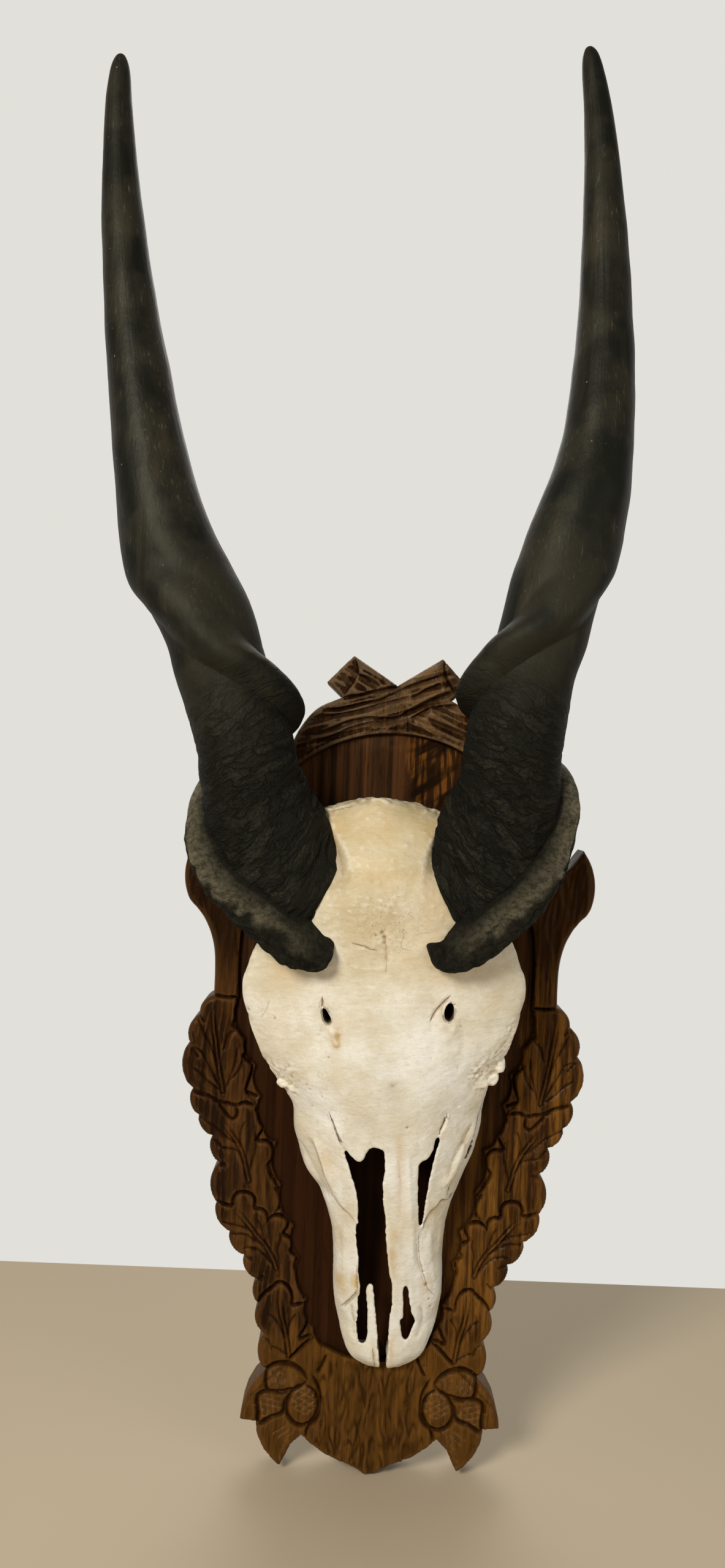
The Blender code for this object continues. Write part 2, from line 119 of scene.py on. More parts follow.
# %% A smooth table
def smooth_table(rows, keys):
    """Values between the rows of a table, for many keys at once."""
    rows = np.array(sorted(rows), float)
    keys = np.clip(np.asarray(keys, float), rows[0, 0], rows[-1, 0])
    steps = np.diff(rows[:, 0])
    slopes = np.empty_like(rows[:, 1:])
    slopes[1:-1] = (rows[2:, 1:] - rows[:-2, 1:]) / (rows[2:, :1] - rows[:-2, :1])
    slopes[0] = (rows[1, 1:] - rows[0, 1:]) / steps[0]
    slopes[-1] = (rows[-1, 1:] - rows[-2, 1:]) / steps[-1]
    spot = np.clip(np.searchsorted(rows[:, 0], keys, side="right") - 1, 0, len(rows) - 2)
    span = steps[spot]
    t = ((keys - rows[spot, 0]) / span)[..., None]
    span = span[..., None]
    return (
        (2 * t**3 - 3 * t**2 + 1) * rows[spot, 1:]
        + (t**3 - 2 * t**2 + t) * slopes[spot] * span
        + (3 * t**2 - 2 * t**3) * rows[spot + 1, 1:]
        + (t**3 - t**2) * slopes[spot + 1] * span
    )


# %% Repeatable lumps
def hashed(cells, seed):
    """A number from -1 to 1 for each whole-number cell, the same every time."""
    mixed = cells[:, 0] * 374761393 + cells[:, 1] * 668265263 + cells[:, 2] * 2147483647
    mixed = mixed + seed * 974634777
    mixed = (mixed ^ (mixed >> 13)) * 1274126177
    mixed = (mixed ^ (mixed >> 16)) & 0xFFFFFF
    return mixed / float(0x7FFFFF) - 1.0


def lumps(points, size, seed):
    """Smooth noise from about -1 to 1 whose lumps are `size` across."""
    scaled = points / np.asarray(size, float)
    cell = np.floor(scaled).astype(np.int64)
    part = scaled - cell
    fade = part**3 * (part * (part * 6 - 15) + 10)
    total = np.zeros(len(points))
    for corner in itertools.product((0, 1), repeat=3):
        corner = np.array(corner)
        toward = part - corner
        push = sum(toward[:, k] * hashed(cell + corner, seed + 7 * k) for k in range(3))
        total += push * np.where(corner == 1, fade, 1 - fade).prod(axis=1)
    return total * 1.5


def rough_lumps(points, size, seed, layers):
    """Lumps with smaller lumps on them."""
    size = np.asarray(size, float)
    total, weight = 0.0, 1.0
    for layer in range(layers):
        total = total + weight * lumps(points, size / 2**layer, seed + 31 * layer)
        weight *= 0.5
    return total


# %% Lines drawn on a surface
def line_distance(x, z, line):
    """Distance to a broken line, how far along it (0 to 1), and whether at its left (1, -1)."""
    line = np.array(line, float)
    lengths = np.hypot(*np.diff(line, axis=0).T)
    best = np.full(x.shape, 1e9)
    along = np.zeros(x.shape)
    side = np.ones(x.shape)
    walked = 0.0
    for start, end, length in zip(line, line[1:], lengths):
        step = (end - start) / length
        reach = np.clip((x - start[0]) * step[0] + (z - start[1]) * step[1], 0, length)
        off_x, off_z = x - start[0] - reach * step[0], z - start[1] - reach * step[1]
        away = np.hypot(off_x, off_z)
        nearer = away < best
        best = np.where(nearer, away, best)
        along = np.where(nearer, (walked + reach) / lengths.sum(), along)
        side = np.where(nearer, np.where(step[0] * off_z > step[1] * off_x, 1.0, -1.0), side)
        walked += length
    return best, along, side


def near_line(x, z, line, reach):
    """The indices of the points near a line, and their distances as above."""
    line = np.array(line, float)
    low, high = line.min(axis=0) - reach, line.max(axis=0) + reach
    near = np.where((x > low[0]) & (x < high[0]) & (z > low[1]) & (z < high[1]))[0]
    return (near, *line_distance(x[near], z[near], line))


def flow(line, step):
    """A smooth line through the given points, with points about a step apart."""
    line = np.array(line, float)
    lengths = np.hypot(*np.diff(line, axis=0).T)
    walked = np.concatenate([[0.0], np.cumsum(lengths)])
    marks = np.linspace(0, walked[-1], max(int(walked[-1] / step), 1) + 1)
    return smooth_table(np.column_stack([walked, line]).tolist(), marks)


def between_ends(along, taper):
    """1 along a line, falling to 0 over a share of its length at either end."""
    return np.clip(np.minimum(along, 1 - along) / taper, 0.0, 1.0)


def stroke(x, z, line, width, taper, sharp=1.0):
    """A V-shaped profile from 0 to 1 along a line, fading out at its ends."""
    result = np.zeros(x.shape)
    near, away, along, _ = near_line(x, z, line, width)
    ends = between_ends(along, taper) ** 0.5
    wide = width * (0.35 + 0.65 * ends)
    result[near] = ends * np.clip(1 - away / wide, 0, 1) ** sharp
    return result


def step_along(x, z, line, reach):
    """A step from -1 at the line's right to 1 at its left, fading away from it."""
    result = np.zeros(x.shape)
    near, away, along, side = near_line(x, z, line, 3 * reach)
    ends = between_ends(along, 0.2)
    result[near] = side * ends * smoothstep(away / 1.3) * np.exp(-away / reach)
    return result


def blob(x, z, centre, radii):
    """A soft round spot of height 1."""
    across, along = (x - centre[0]) / radii[0], (z - centre[1]) / radii[1]
    return np.exp(-(across**2) - along**2)


def smoothstep(value):
    value = np.clip(value, 0.0, 1.0)
    return value * value * (3 - 2 * value)


def inside(x, z, loop):
    """Which points lie inside a closed loop."""
    found = np.zeros(x.shape, bool)
    for (ax, az), (bx, bz) in zip(loop, loop[1:] + loop[:1]):
        if az == bz:
            continue
        crosses = (az > z) != (bz > z)
        found ^= crosses & (x < (bx - ax) * (z - az) / (bz - az) + ax)
    return found


# %% Making mesh objects
def add_object(name, data):
    """A new object in the scene, from a mesh, a lamp or a camera."""
    made = bpy.data.objects.new(name, data)
    bpy.context.scene.collection.objects.link(made)
    return made


def add_mesh(name, vertices, faces):
    mesh = bpy.data.meshes.new(name)
    mesh.from_pydata(np.asarray(vertices).tolist(), [], faces)
    made = add_object(name, mesh)
    turn_outward(mesh)
    return made


def turn_outward(mesh):
    shape = bmesh.new()
    shape.from_mesh(mesh)
    bmesh.ops.recalc_face_normals(shape, faces=shape.faces)
    if shape.calc_volume(signed=True) < 0:
        bmesh.ops.reverse_faces(shape, faces=shape.faces)
    shape.to_mesh(mesh)
    shape.free()


def add_loft(name, rings):
    """A closed skin over an array of rings: ring, point, xyz."""
    count, sides, _ = rings.shape
    row = np.arange(count - 1)[:, None] * sides
    side = np.arange(sides)[None, :]
    after = (side + 1) % sides
    corners = [row + side, row + after, row + sides + after, row + sides + side]
    faces = np.stack(np.broadcast_arrays(*corners), axis=-1).reshape(-1, 4).tolist()
    faces.append(list(range(sides - 1, -1, -1)))
    faces.append(list(range((count - 1) * sides, count * sides)))
    return add_mesh(name, rings.reshape(-1, 3), faces)


def baked(thing, name):
    """The object's evaluated mesh as a new plain mesh; the object itself is removed."""
    graph = bpy.context.evaluated_depsgraph_get()
    mesh = bpy.data.meshes.new_from_object(thing.evaluated_get(graph))
    mesh.name = name
    bpy.data.objects.remove(thing)
    return mesh


def vertex_array(mesh, what="co"):
    values = np.empty(len(mesh.vertices) * 3)
    source = mesh.vertices if what == "co" else mesh.vertex_normals
    source.foreach_get(what if what == "co" else "vector", values)
    return values.reshape(-1, 3)


def set_vertices(mesh, points):
    mesh.vertices.foreach_set("co", np.asarray(points).ravel())
    mesh.update()


def store(mesh, name, values):
    """A number or a vector at each vertex that a material can read."""
    values = np.asarray(values, np.float32)
    kind, what = ("FLOAT", "value") if values.ndim == 1 else ("FLOAT_VECTOR", "vector")
    layer = mesh.attributes.new(name, kind, "POINT")
    layer.data.foreach_set(what, values.ravel())


def averaged(mesh, rounds):
    """Each vertex moved to the average of its neighbours, several times over."""
    points = vertex_array(mesh)
    ends = np.empty(len(mesh.edges) * 2, np.int64)
    mesh.edges.foreach_get("vertices", ends)
    first, second = ends.reshape(-1, 2).T
    neighbours = np.maximum(np.bincount(ends, minlength=len(points)), 1)[:, None]
    even = points
    for _ in range(rounds):
        total = np.zeros_like(even)
        for axis in range(3):
            total[:, axis] = np.bincount(first, even[second, axis], len(points))
            total[:, axis] += np.bincount(second, even[first, axis], len(points))
        even = total / neighbours
    return even


def relief(mesh, rounds):
    """How far each vertex stands above the average of its surroundings, in millimetres."""
    raised = vertex_array(mesh) - averaged(mesh, rounds)
    return (raised * vertex_array(mesh, "normal")).sum(axis=1) / MM


# %% [markdown]
# ## The skull's rough form
#
# The trophy skull is the top half of a head, sawn flat so that it lies on the board.
# Its sections are tables: for each height z, how far the middle, the shoulder and the
# side stand out. Lofting the sections gives the head's mass, like a first clay model.

# %% The skull's sections
# z, middle height, shoulder x and height, side x and height, x at the sawn back
SKULL_SECTIONS = [
    (205.5, 60, 15, 50, 16, 30, 14),
    (202.7, 63, 26, 50, 27, 28, 25),
    (200, 65, 34, 51, 35, 27, 33),
    (194, 69, 46, 52, 47, 26, 44),
    (187, 74, 53, 55, 55, 28, 51),
    (178, 81, 55, 57, 57, 30, 53),
    (160, 92, 57, 62, 58, 34, 55),
    (135, 96, 70, 72, 61, 36, 57),
    (108, 93, 89, 75, 68, 40, 60),
    (84, 91, 98, 74, 80, 46, 68),
    (66, 90, 98.5, 71, 88, 46, 76),
    (48, 88, 93, 68, 86, 40, 76),
    (28, 85, 87.5, 62, 82, 36, 74),
    (8, 81, 80, 54, 76, 32, 70),
    (-8, 77, 72, 50, 72, 28, 68),
    (-24, 71, 66, 44, 69, 24, 66),
    (-42, 65, 62, 40, 67, 20, 64),
    (-58, 60, 55, 36, 60, 18, 58),
    (-84, 53, 42, 32, 47, 15, 46),
    (-110, 46, 37, 28, 41, 13, 40),
    (-143, 38, 35, 24, 40, 11, 38),
    (-168, 32, 32, 20, 37, 10, 36),
    (-188, 27, 27, 17, 35, 9, 34),
    (-203, 24, 26, 16, 32, 8.5, 31),
    (-213, 22, 23, 15.5, 28.5, 10, 27),
    (-219, 19.5, 18, 14, 24, 10.5, 22.5),
    (-223, 16.5, 12, 12.5, 17.5, 10, 16),
    (-226, 12.5, 5, 10.5, 9, 9.5, 8),
]
# z, and how much wider than the table the left and the right side are there
SKULL_SIDES = [
    (205.5, 0, -12), (202, 2, -8), (196, 4, -5), (187, 1, -1), (30, 0, 0), (8, -1, -2),
    (-15, -4.5, 1), (-30, -1.5, 2.5), (-45, -0.2, 3.3), (-58, 3, 6), (-72, 5.5, 7.5),
    (-84, 2.2, 8.5), (-100, 1.2, 6.4), (-120, -0.2, 4.6), (-140, -1, 3), (-168, 1.8, 5.6),
    (-190, 1, 4.2), (-205, 1.2, 2), (-226, 0, 0),
]
SECTION_STEP = 3.0
SECTION_POINTS = 40
CROWN_SHARE = 0.52         # the crown's edge: share of the shoulder's x, and of its drop
CROWN_DROP = 0.22


def widened(z, right):
    """The table's sections at the heights z, as wide as the left or right side is there."""
    section = smooth_table(SKULL_SECTIONS, z)
    left_more, right_more = smooth_table(SKULL_SIDES, z).T
    section[:, (1, 3, 5)] += np.where(right, right_more, left_more)[:, None]
    return section


def half_outline(section, wall, base):
    """Points from the middle line to the sawn back, on one side of one section."""
    top, shoulder_x, shoulder, side_x, side, foot_x = section
    near, near_height = shoulder_x * CROWN_SHARE, top - wall - (top - shoulder) * CROWN_DROP
    return smooth_table([
        (-1, -near, near_height),
        (0, 0, top - wall),
        (1, near, near_height),
        (2, shoulder_x - wall, shoulder - wall * 0.6),
        (3, side_x - wall, side),
        (4, foot_x - wall, base),
    ], np.linspace(0, 4, SECTION_POINTS + 1))


def skull_rings(low, high, wall=0.0, base=0.3):
    """Rings from the table; a wall shrinks them for the hollow inside."""
    rings = []
    heights = np.linspace(low, high, int((high - low) / SECTION_STEP) + 2)
    # The muzzle's tip is lifted off the board
    bases = base + 6.0 * smoothstep((-211 - heights) / 7)
    sides = widened(heights, False), widened(heights, True)
    for z, bottom, left, right in zip(heights, bases, *sides):
        left, right = half_outline(left, wall, bottom), half_outline(right, wall, bottom)
        x = np.concatenate([-left[::-1, 0], right[1:, 0]])
        front = np.concatenate([left[::-1, 1], right[1:, 1]])
        rings.append(place_on_skull(x, z, front))
    return np.array(rings)


skull_clay = add_loft("skull clay", skull_rings(-226.0, 205.5))
print("skull clay:", len(skull_clay.data.vertices), "vertices")

# %% [markdown]
# ## Openings in the bone
#
# The nose is hollow, the left nasal bone has broken away, and slits and small holes
# run through the bone. Each opening is an outline in x and z that cuts straight
# through, plus one hollow that leaves a thin wall and two balls for the eye sockets.

# %% Outlines of the openings
NASAL_GAP = [
    (-31.2, -38), (-29.3, -43.2), (-25.8, -48.5), (-21.6, -53.3), (-18.9, -54.8), (-16.7, -53.4),
    (-14.3, -49.3), (-12.4, -44.8), (-10.4, -42.3), (-6.5, -43), (-0.9, -45), (-0.2, -62.6),
    (-1.9, -72.7), (-1.8, -82.9), (0.2, -103.3), (0.1, -115.6), (2.2, -140.6), (4.5, -153.3),
    (4.6, -170.2), (2.9, -180.7), (1.3, -202.3), (0.7, -218.4), (0.7, -232), (-5, -232),
    (-4.9, -219.6), (-5.7, -204.7), (-7.1, -183), (-8.5, -161.8), (-9.1, -154.3), (-10.6, -152.4),
    (-13, -153), (-14.5, -157), (-14.5, -162.2), (-13.6, -172.8), (-13.4, -183.5), (-13.5, -193.4),
    (-15.2, -200.6), (-17.8, -203.6), (-20.4, -200.2), (-21.3, -192.2), (-21.2, -183.1),
    (-20.6, -171.9), (-19.3, -163), (-18.4, -156), (-19.6, -148.3), (-19.1, -136.7),
    (-20.4, -127.7), (-21.1, -117.6), (-21.2, -106.8), (-19.9, -104.5), (-19.8, -94.5),
    (-20, -84.1), (-21.6, -74.9), (-24.1, -65.9), (-27, -55.8), (-30, -45.8), (-32.4, -39.5),
]
NASAL_SLIT = [
    (36.2, -41), (35, -46.1), (32.7, -50.5), (29.3, -54.1), (25.2, -55.6), (23.9, -58.3),
    (23.6, -66.2), (24, -81), (24.1, -93.7), (23.9, -104.1), (25.2, -110.5), (27.3, -106),
    (28.4, -99), (29.2, -90.8), (30.4, -80.3), (32.3, -69.9), (34.3, -59.5), (36.8, -49.1),
    (38.6, -41), (39.4, -36), (38.2, -36.4),
]
PALATE_HOLE = [
    (13.4, -155), (15.4, -154.6), (16.8, -158.5), (17.6, -165.1), (18.4, -172.7), (19.6, -179.6),
    (21.3, -183.1), (22.3, -185), (20.2, -189.9), (17.9, -194.8), (16.4, -199.6), (14, -199.8),
    (12.1, -196.7), (11.3, -189.9), (10.5, -182.3), (13.2, -181.5), (13.4, -173), (13, -162.3),
]
# A narrow slot between the right jaw bone and the plate behind it
SIDE_SLOT = [
    (69, -24), (66.6, -41), (64, -50), (60.6, -58), (56.2, -65), (51.8, -72), (48.2, -79),
    (45.6, -87), (44.8, -88), (45.8, -81), (49.4, -73), (54.2, -66), (58.2, -58), (61.4, -50.5),
    (64.8, -41), (67.6, -24),
]
BROW_HOLE_LEFT = [
    (-44, 61), (-41.5, 61), (-38.6, 55), (-37.6, 50), (-39.5, 49.5), (-42.2, 52),
]
BROW_HOLE_RIGHT = [
    (45.6, 64), (47.6, 62), (48.4, 57), (47.6, 51.5), (44.8, 50), (42, 52.5),
    (41.4, 57.5), (43.2, 61.5),
]
EYE_CENTRE = (94, 40, 20)
EYE_RADII = (38, 30, 41)


def ragged(outline, size, seed):
    """The outline with a point every two millimetres, each moved a little."""
    loop = np.array(outline + outline[:1], float)
    walked = np.concatenate([[0.0], np.cumsum(np.hypot(*np.diff(loop, axis=0).T))])
    marks = np.arange(0, walked[-1], 2.0)
    points = np.column_stack([np.interp(marks, walked, loop[:, axis]) for axis in (0, 1)])
    cells = np.zeros((len(marks), 3), np.int64)
    cells[:, 0] = np.arange(len(marks))
    return points + size * np.column_stack([hashed(cells, seed), hashed(cells, seed + 1)])


def add_prism(name, outline, low, high):
    x, z = np.array(outline, float).T
    return add_loft(name, np.array([place_on_skull(x, z, low), place_on_skull(x, z, high)]))


def add_ball(name, centre, radii, segments=48, rings=32):
    """An egg in the skull's frame, from its centre and half sizes: x, z, front."""
    angles = np.linspace(0, 2 * np.pi, segments, endpoint=False)
    layers = []
    for tilt in np.linspace(-np.pi / 2, np.pi / 2, rings)[1:-1]:
        x = centre[0] + radii[0] * math.cos(tilt) * np.cos(angles)
        front = centre[2] + radii[2] * math.cos(tilt) * np.sin(angles)
        layers.append(place_on_skull(x, centre[1] + radii[1] * math.sin(tilt), front))
    return add_loft(name, np.array(layers))


def cut(thing, cutters):
    for cutter in cutters:
        step = thing.modifiers.new(cutter.name, "BOOLEAN")
        step.operation = "DIFFERENCE"
        step.object = cutter
        step.solver = "EXACT"


cutters = [
    add_loft("nose hollow", skull_rings(-209.0, 10.0, BONE_WALL, -18.0)),
    add_prism("nasal gap", ragged(NASAL_GAP, 0.4, 3), -20, 130),
    add_prism("nasal slit", ragged(NASAL_SLIT, 0.25, 5), -20, 130),
    add_prism("palate hole", ragged(PALATE_HOLE, 0.3, 7), -20, 60),
    add_prism("side slot", ragged(SIDE_SLOT, 0.3, 9), 9, 60),
    add_prism("left brow hole", BROW_HOLE_LEFT, 25, 130),
    add_prism("right brow hole", BROW_HOLE_RIGHT, 25, 130),
]
for side in (-1, 1):
    x, z, front = EYE_CENTRE
    cutters.append(add_ball(f"eye socket {side}", (side * x, z, front), EYE_RADII))
cut(skull_clay, cutters)
skull_cut = baked(skull_clay, "skull cut")
for cutter in cutters:
    bpy.data.objects.remove(cutter)
print("skull with its openings:", len(skull_cut.vertices), "vertices")

# %% [markdown]
# ## Knobbly seams of bone
#
# Where the bones of a skull meet, they knit together in a knobbly seam. Small grains
# of bone repeat along a path, which is work for Geometry Nodes: we draw the path, and
# the tree sets grains along it with a little chance in place and size.

# %% A node tree that sets grains along a path
def new_tree(name, inputs):
    tree = bpy.data.node_groups.new(name, "GeometryNodeTree")
    tree.interface.new_socket("Geometry", in_out="INPUT", socket_type="NodeSocketGeometry")
    for label, kind in inputs:
        tree.interface.new_socket(label, in_out="INPUT", socket_type=kind)
    tree.interface.new_socket("Geometry", in_out="OUTPUT", socket_type="NodeSocketGeometry")
    return tree


def run_tree(thing, tree, values):
    """Sets the tree's inputs by their identifiers and returns the plain mesh it makes."""
    step = thing.modifiers.new(tree.name, "NODES")
    step.node_group = tree
    for item in tree.interface.items_tree:
        if item.in_out == "INPUT" and item.name in values:
            step[item.identifier] = values[item.name]
    return baked(thing, thing.name)


def grains_tree():
    tree = new_tree("Grains along a path", [
        ("Spacing", "NodeSocketFloat"), ("Size", "NodeSocketFloat"),
        ("Spread", "NodeSocketFloat"), ("Seed", "NodeSocketInt"),
        ("Finish", "NodeSocketMaterial"),
    ])
    nodes = tree.nodes
    given = nodes.new("NodeGroupInput")
    result = nodes.new("NodeGroupOutput")
    path = nodes.new("GeometryNodeMeshToCurve")
    spread_out = nodes.new("GeometryNodeResampleCurve")
    spread_out.mode = "LENGTH"
    jitter = nodes.new("FunctionNodeRandomValue")
    jitter.data_type = "FLOAT_VECTOR"
    jitter.inputs[0].default_value = (-1.0, -1.0, -1.0)
    scaled = nodes.new("ShaderNodeVectorMath")
    scaled.operation = "SCALE"
    moved = nodes.new("GeometryNodeSetPosition")
    grain = nodes.new("GeometryNodeMeshIcoSphere")
    grain.inputs["Subdivisions"].default_value = 2
    sizes = nodes.new("FunctionNodeRandomValue")
    sizes.data_type = "FLOAT"
    sizes.inputs[2].default_value = 0.45
    sizes.inputs[3].default_value = 1.25
    set_out = nodes.new("GeometryNodeInstanceOnPoints")
    real = nodes.new("GeometryNodeRealizeInstances")
    finish = nodes.new("GeometryNodeSetMaterial")
    for source, target in [
        (given.outputs["Geometry"], path.inputs[0]),
        (path.outputs[0], spread_out.inputs["Curve"]),
        (given.outputs["Spacing"], spread_out.inputs["Length"]),
        (given.outputs["Seed"], jitter.inputs["Seed"]),
        (given.outputs["Seed"], sizes.inputs["Seed"]),
        (jitter.outputs["Value"], scaled.inputs[0]),
        (given.outputs["Spread"], scaled.inputs["Scale"]),
        (spread_out.outputs[0], moved.inputs["Geometry"]),
        (scaled.outputs[0], moved.inputs["Offset"]),
        (given.outputs["Size"], grain.inputs["Radius"]),
        (moved.outputs[0], set_out.inputs["Points"]),
        (grain.outputs["Mesh"], set_out.inputs["Instance"]),
        (sizes.outputs[1], set_out.inputs["Scale"]),
        (set_out.outputs[0], real.inputs[0]),
        (real.outputs[0], finish.inputs["Geometry"]),
        (given.outputs["Finish"], finish.inputs["Material"]),
        (finish.outputs[0], result.inputs[0]),
    ]:
        tree.links.new(source, target)
    return tree


def skull_front(x, z):
    """How far the lofted skull stands out in front of each point, in millimetres."""
    top, shoulder_x, shoulder = widened(z, x > 0)[:, :3].T
    share = np.clip(np.abs(x) / shoulder_x, 0, 1)
    return top - (top - shoulder) * np.interp(share, (0, CROWN_SHARE, 1), (0, CROWN_DROP, 1))


EDGES_A_STEP = 12          # edges between two drawn points of a seam


def path_mesh(name, line, sink):
    """A drawn line laid on the skull as a chain of short edges, a little below its surface."""
    line = np.array(line, float)
    ends = np.arange(len(line))
    fine = np.linspace(0, len(line) - 1, (len(line) - 1) * EDGES_A_STEP + 1)
    x, z = np.interp(fine, ends, line[:, 0]), np.interp(fine, ends, line[:, 1])
    points = place_on_skull(x, z, skull_front(x, z) - sink)
    mesh = bpy.data.meshes.new(name)
    mesh.from_pydata(points.tolist(), [(i, i + 1) for i in range(len(points) - 1)], [])
    return add_object(name, mesh)


bone = bpy.data.materials.new("bleached bone")
SEAMS = [
    [(-77, 8.5), (-68, 8.8), (-61, 3.7), (-52.5, 0.2), (-47, -5.4), (-50.2, -15.5),
     (-39, -20.3)],
    [(86.9, 30.3), (79.6, 25.2), (72.7, 16.7), (65.6, 10.6), (58.8, -1.7), (53, -4.3),
     (56.1, -10.3), (49.1, -15.4), (44.1, -20.1)],
]
grains = grains_tree()
seam_meshes = []
for number, seam in enumerate(SEAMS):
    seam_meshes.append(run_tree(path_mesh(f"seam {number}", seam, sink=1.1), grains, {
        "Spacing": 2.2 * MM, "Size": 1.15 * MM, "Spread": 2.0 * MM,
        "Seed": 5 + number, "Finish": bone,
    }))
print("seam grains:", [len(mesh.polygons) for mesh in seam_meshes], "faces")

# %% [markdown]
# ## One skin of bone
#
# The clay, the horn bases, the knobs at the eyes' corners and the seam grains
# overlap. A voxel remesh wraps them all in one even skin, the way a real skull is one
# grown-together surface, and gives us small equal faces to model on.

# %% Wrap the parts in one skin
# The bony bases of the horns: balls that grow narrower outwards, middle and radii
HORN_BASES = [
    ((40, 132, 40), (44, 60, 42)), ((52, 140, 47), (38, 48, 40)), ((62, 147, 53), (32, 38, 36)),
]
# Knobs at the eyes' corners: middle and radii
KNOBS = [
    ((-71.5, 2.5, 53), (7.5, 5.5, 5.5)), ((-64, -1, 55.5), (6, 4.5, 4)),
    ((76, 4.5, 52), (6.8, 6.4, 5.5)), ((69, 1.5, 55.5), (6, 5, 4)),
    ((83, 14, 54), (4.5, 6.5, 4.5)),
]


def wrap(name, meshes, voxel, smoothing):
    """Joins overlapping closed meshes in one even skin."""
    shape = bmesh.new()
    for mesh in meshes:
        shape.from_mesh(mesh)
    joined = bpy.data.meshes.new(name)
    shape.to_mesh(joined)
    shape.free()
    thing = add_object(name, joined)
    remesh = thing.modifiers.new("one skin", "REMESH")
    remesh.mode = "VOXEL"
    remesh.voxel_size = voxel * MM
    remesh.adaptivity = 0.0
    remesh.use_smooth_shade = True
    soften = thing.modifiers.new("soften", "SMOOTH")
    soften.factor = 0.5
    soften.iterations = smoothing
    return baked(thing, name)


parts = [skull_cut] + seam_meshes
for side, ((x, z, front), radii) in itertools.product((-1, 1), HORN_BASES):
    parts.append(baked(add_ball("horn base", (side * x, z, front), radii), "horn base"))
for centre, radii in KNOBS:
    ball = add_ball("knob", centre, radii, 20, 14)
    parts.append(baked(ball, "knob"))
skull_mesh = wrap("skull", parts, SKULL_VOXEL, 4)
print("skull skin:", len(skull_mesh.vertices), "vertices")

# %% [markdown]
# ## Sculpting the bone
#
# A sculptor now adds what the clay lacks: the rim at the nape, the hollow beside each
# horn, the grooves that lead to the holes over the eyes, sutures like cracks, and
# pores. Every mark is a spot or a line in the skull's own x and z. We add up how far
# each point of the skin moves along its normal, and store numbers that the colour reads.

# %% Where the marks on the bone lie
NAPE_RIM = [(-50, 194.5), (-42, 199.5), (-35, 202), (-24.7, 206), (-11.3, 205), (-4.7, 206.6),
            (4, 206.2), (18, 204.8), (28.6, 200), (37, 197.6), (45, 194), (56, 189)]
# z, and the x of the ridge at the left and at the right
TEMPORAL_RIDGES = [(138, -20, 24), (158.3, -24, 28), (168.6, -26.2, 30.5), (178.8, -31.6, 36),
                   (188.5, -38.1, 42), (197, -46, 48)]
CHEEK_EDGE = [
    (-51.4, -45.5), (-46.1, -59.9), (-42.5, -72.6), (-36.2, -88.6), (-24.9, -99.8),
]
NOTCH_EDGE = [(45, -91), (41.5, -89.5), (37.4, -94), (32.5, -97.4), (29.5, -103.7)]
JAW_EDGE = [
    (24.3, -122.8), (24.6, -131), (26.2, -139.8), (28.8, -151.1), (31.8, -160.7),
]
SLOT_EDGE = [
    (72, -12), (68.5, -26), (65.7, -41), (62.8, -50), (59.4, -58), (55.2, -65.5), (50.6, -72.5),
    (47, -80),
]
BROW_GROOVE = [(45.8, 69.1), (42.2, 65.6), (37.8, 61.1), (34.2, 56.7), (31.6, 51.3)]
NAPE_PLATE_LEFT = [(-48, 195), (-39.1, 197.1), (-28.1, 199.3), (-19, 202)]
NAPE_PLATE_RIGHT = [(17, 203.6), (26.9, 201.6), (36.1, 198.8), (46, 193)]
# Soft grooves and swellings: points, half width, depth (minus is raised)
BONE_LINES = [
    ([(-23, 107.4), (-18.5, 105.9), (-15, 105.2), (-8.9, 102.5), (-4.5, 102)], 1.8, 0.4),
    ([(-2, 118), (0.8, 105.6), (1.3, 94.8), (0.7, 84)], 3.4, 0.6),
    ([(-43.7, 68), (-43.5, 60)], 1.8, 1.6),
    (BROW_GROOVE, 2, 1),
    ([(32, 52), (31.5, 44), (33.4, 36), (31.9, 22)], 8, 0.6),
    ([(-44, 50), (-46, 40), (-46.5, 28), (-47, 8)], 13, 1.2),
    ([(52, 52), (55.2, 39.6), (53.9, 28), (51, 12)], 12, 1),
    ([(-38.5, 48), (-35.5, 42), (-34, 34)], 4.5, -0.9),
    ([(-52, -38), (-44, -60), (-38, -76), (-29, -94)], 9, -1.8),
    ([(-64, -45), (-56, -62), (-48, -78), (-41, -93)], 7, 1.6),
    ([(-44.5, -71), (-40.7, -79), (-40.4, -90.5)], 3, 1),
    ([(-38.5, -21.3), (-37, -27.3), (-34.8, -34.1), (-32, -40.5)], 1.6, 2),
    ([(43.9, -21.7), (42.5, -27.8), (39.5, -34.3)], 1.5, 1.6),
    ([(58, -46), (50, -66), (42, -80)], 8, -1.6),
    ([(64, -30), (57, -45), (50, -58), (45, -72)], 5, 1.2),
    ([(16.5, -48), (17.5, -75), (19, -110), (21, -140)], 6.5, -1.1),
    ([(9.3, -46), (9.9, -60), (10.7, -85), (9.4, -110)], 3, 0.4),
    ([(-30, -108), (-30, -130), (-31, -150)], 7, -1),
    ([(33, -112), (33, -135), (36, -155)], 8, -1),
    ([(-26, -172), (-25, -186), (-24, -200)], 5, 1.3),
    ([(26, -172), (28, -186), (24, -200)], 5, 0.8),
    ([(-9.5, -207), (-8.5, -224)], 2.2, 0.6),
    ([(-63, 62), (-58, 40), (-56, 18)], 11, 0.8),
    ([(-25, 92), (-14, 89), (4, 90)], 6, -0.5),
    ([(-46, 162), (-8.6, 150), (9, 150.5), (48, 160)], 14, 1),
]
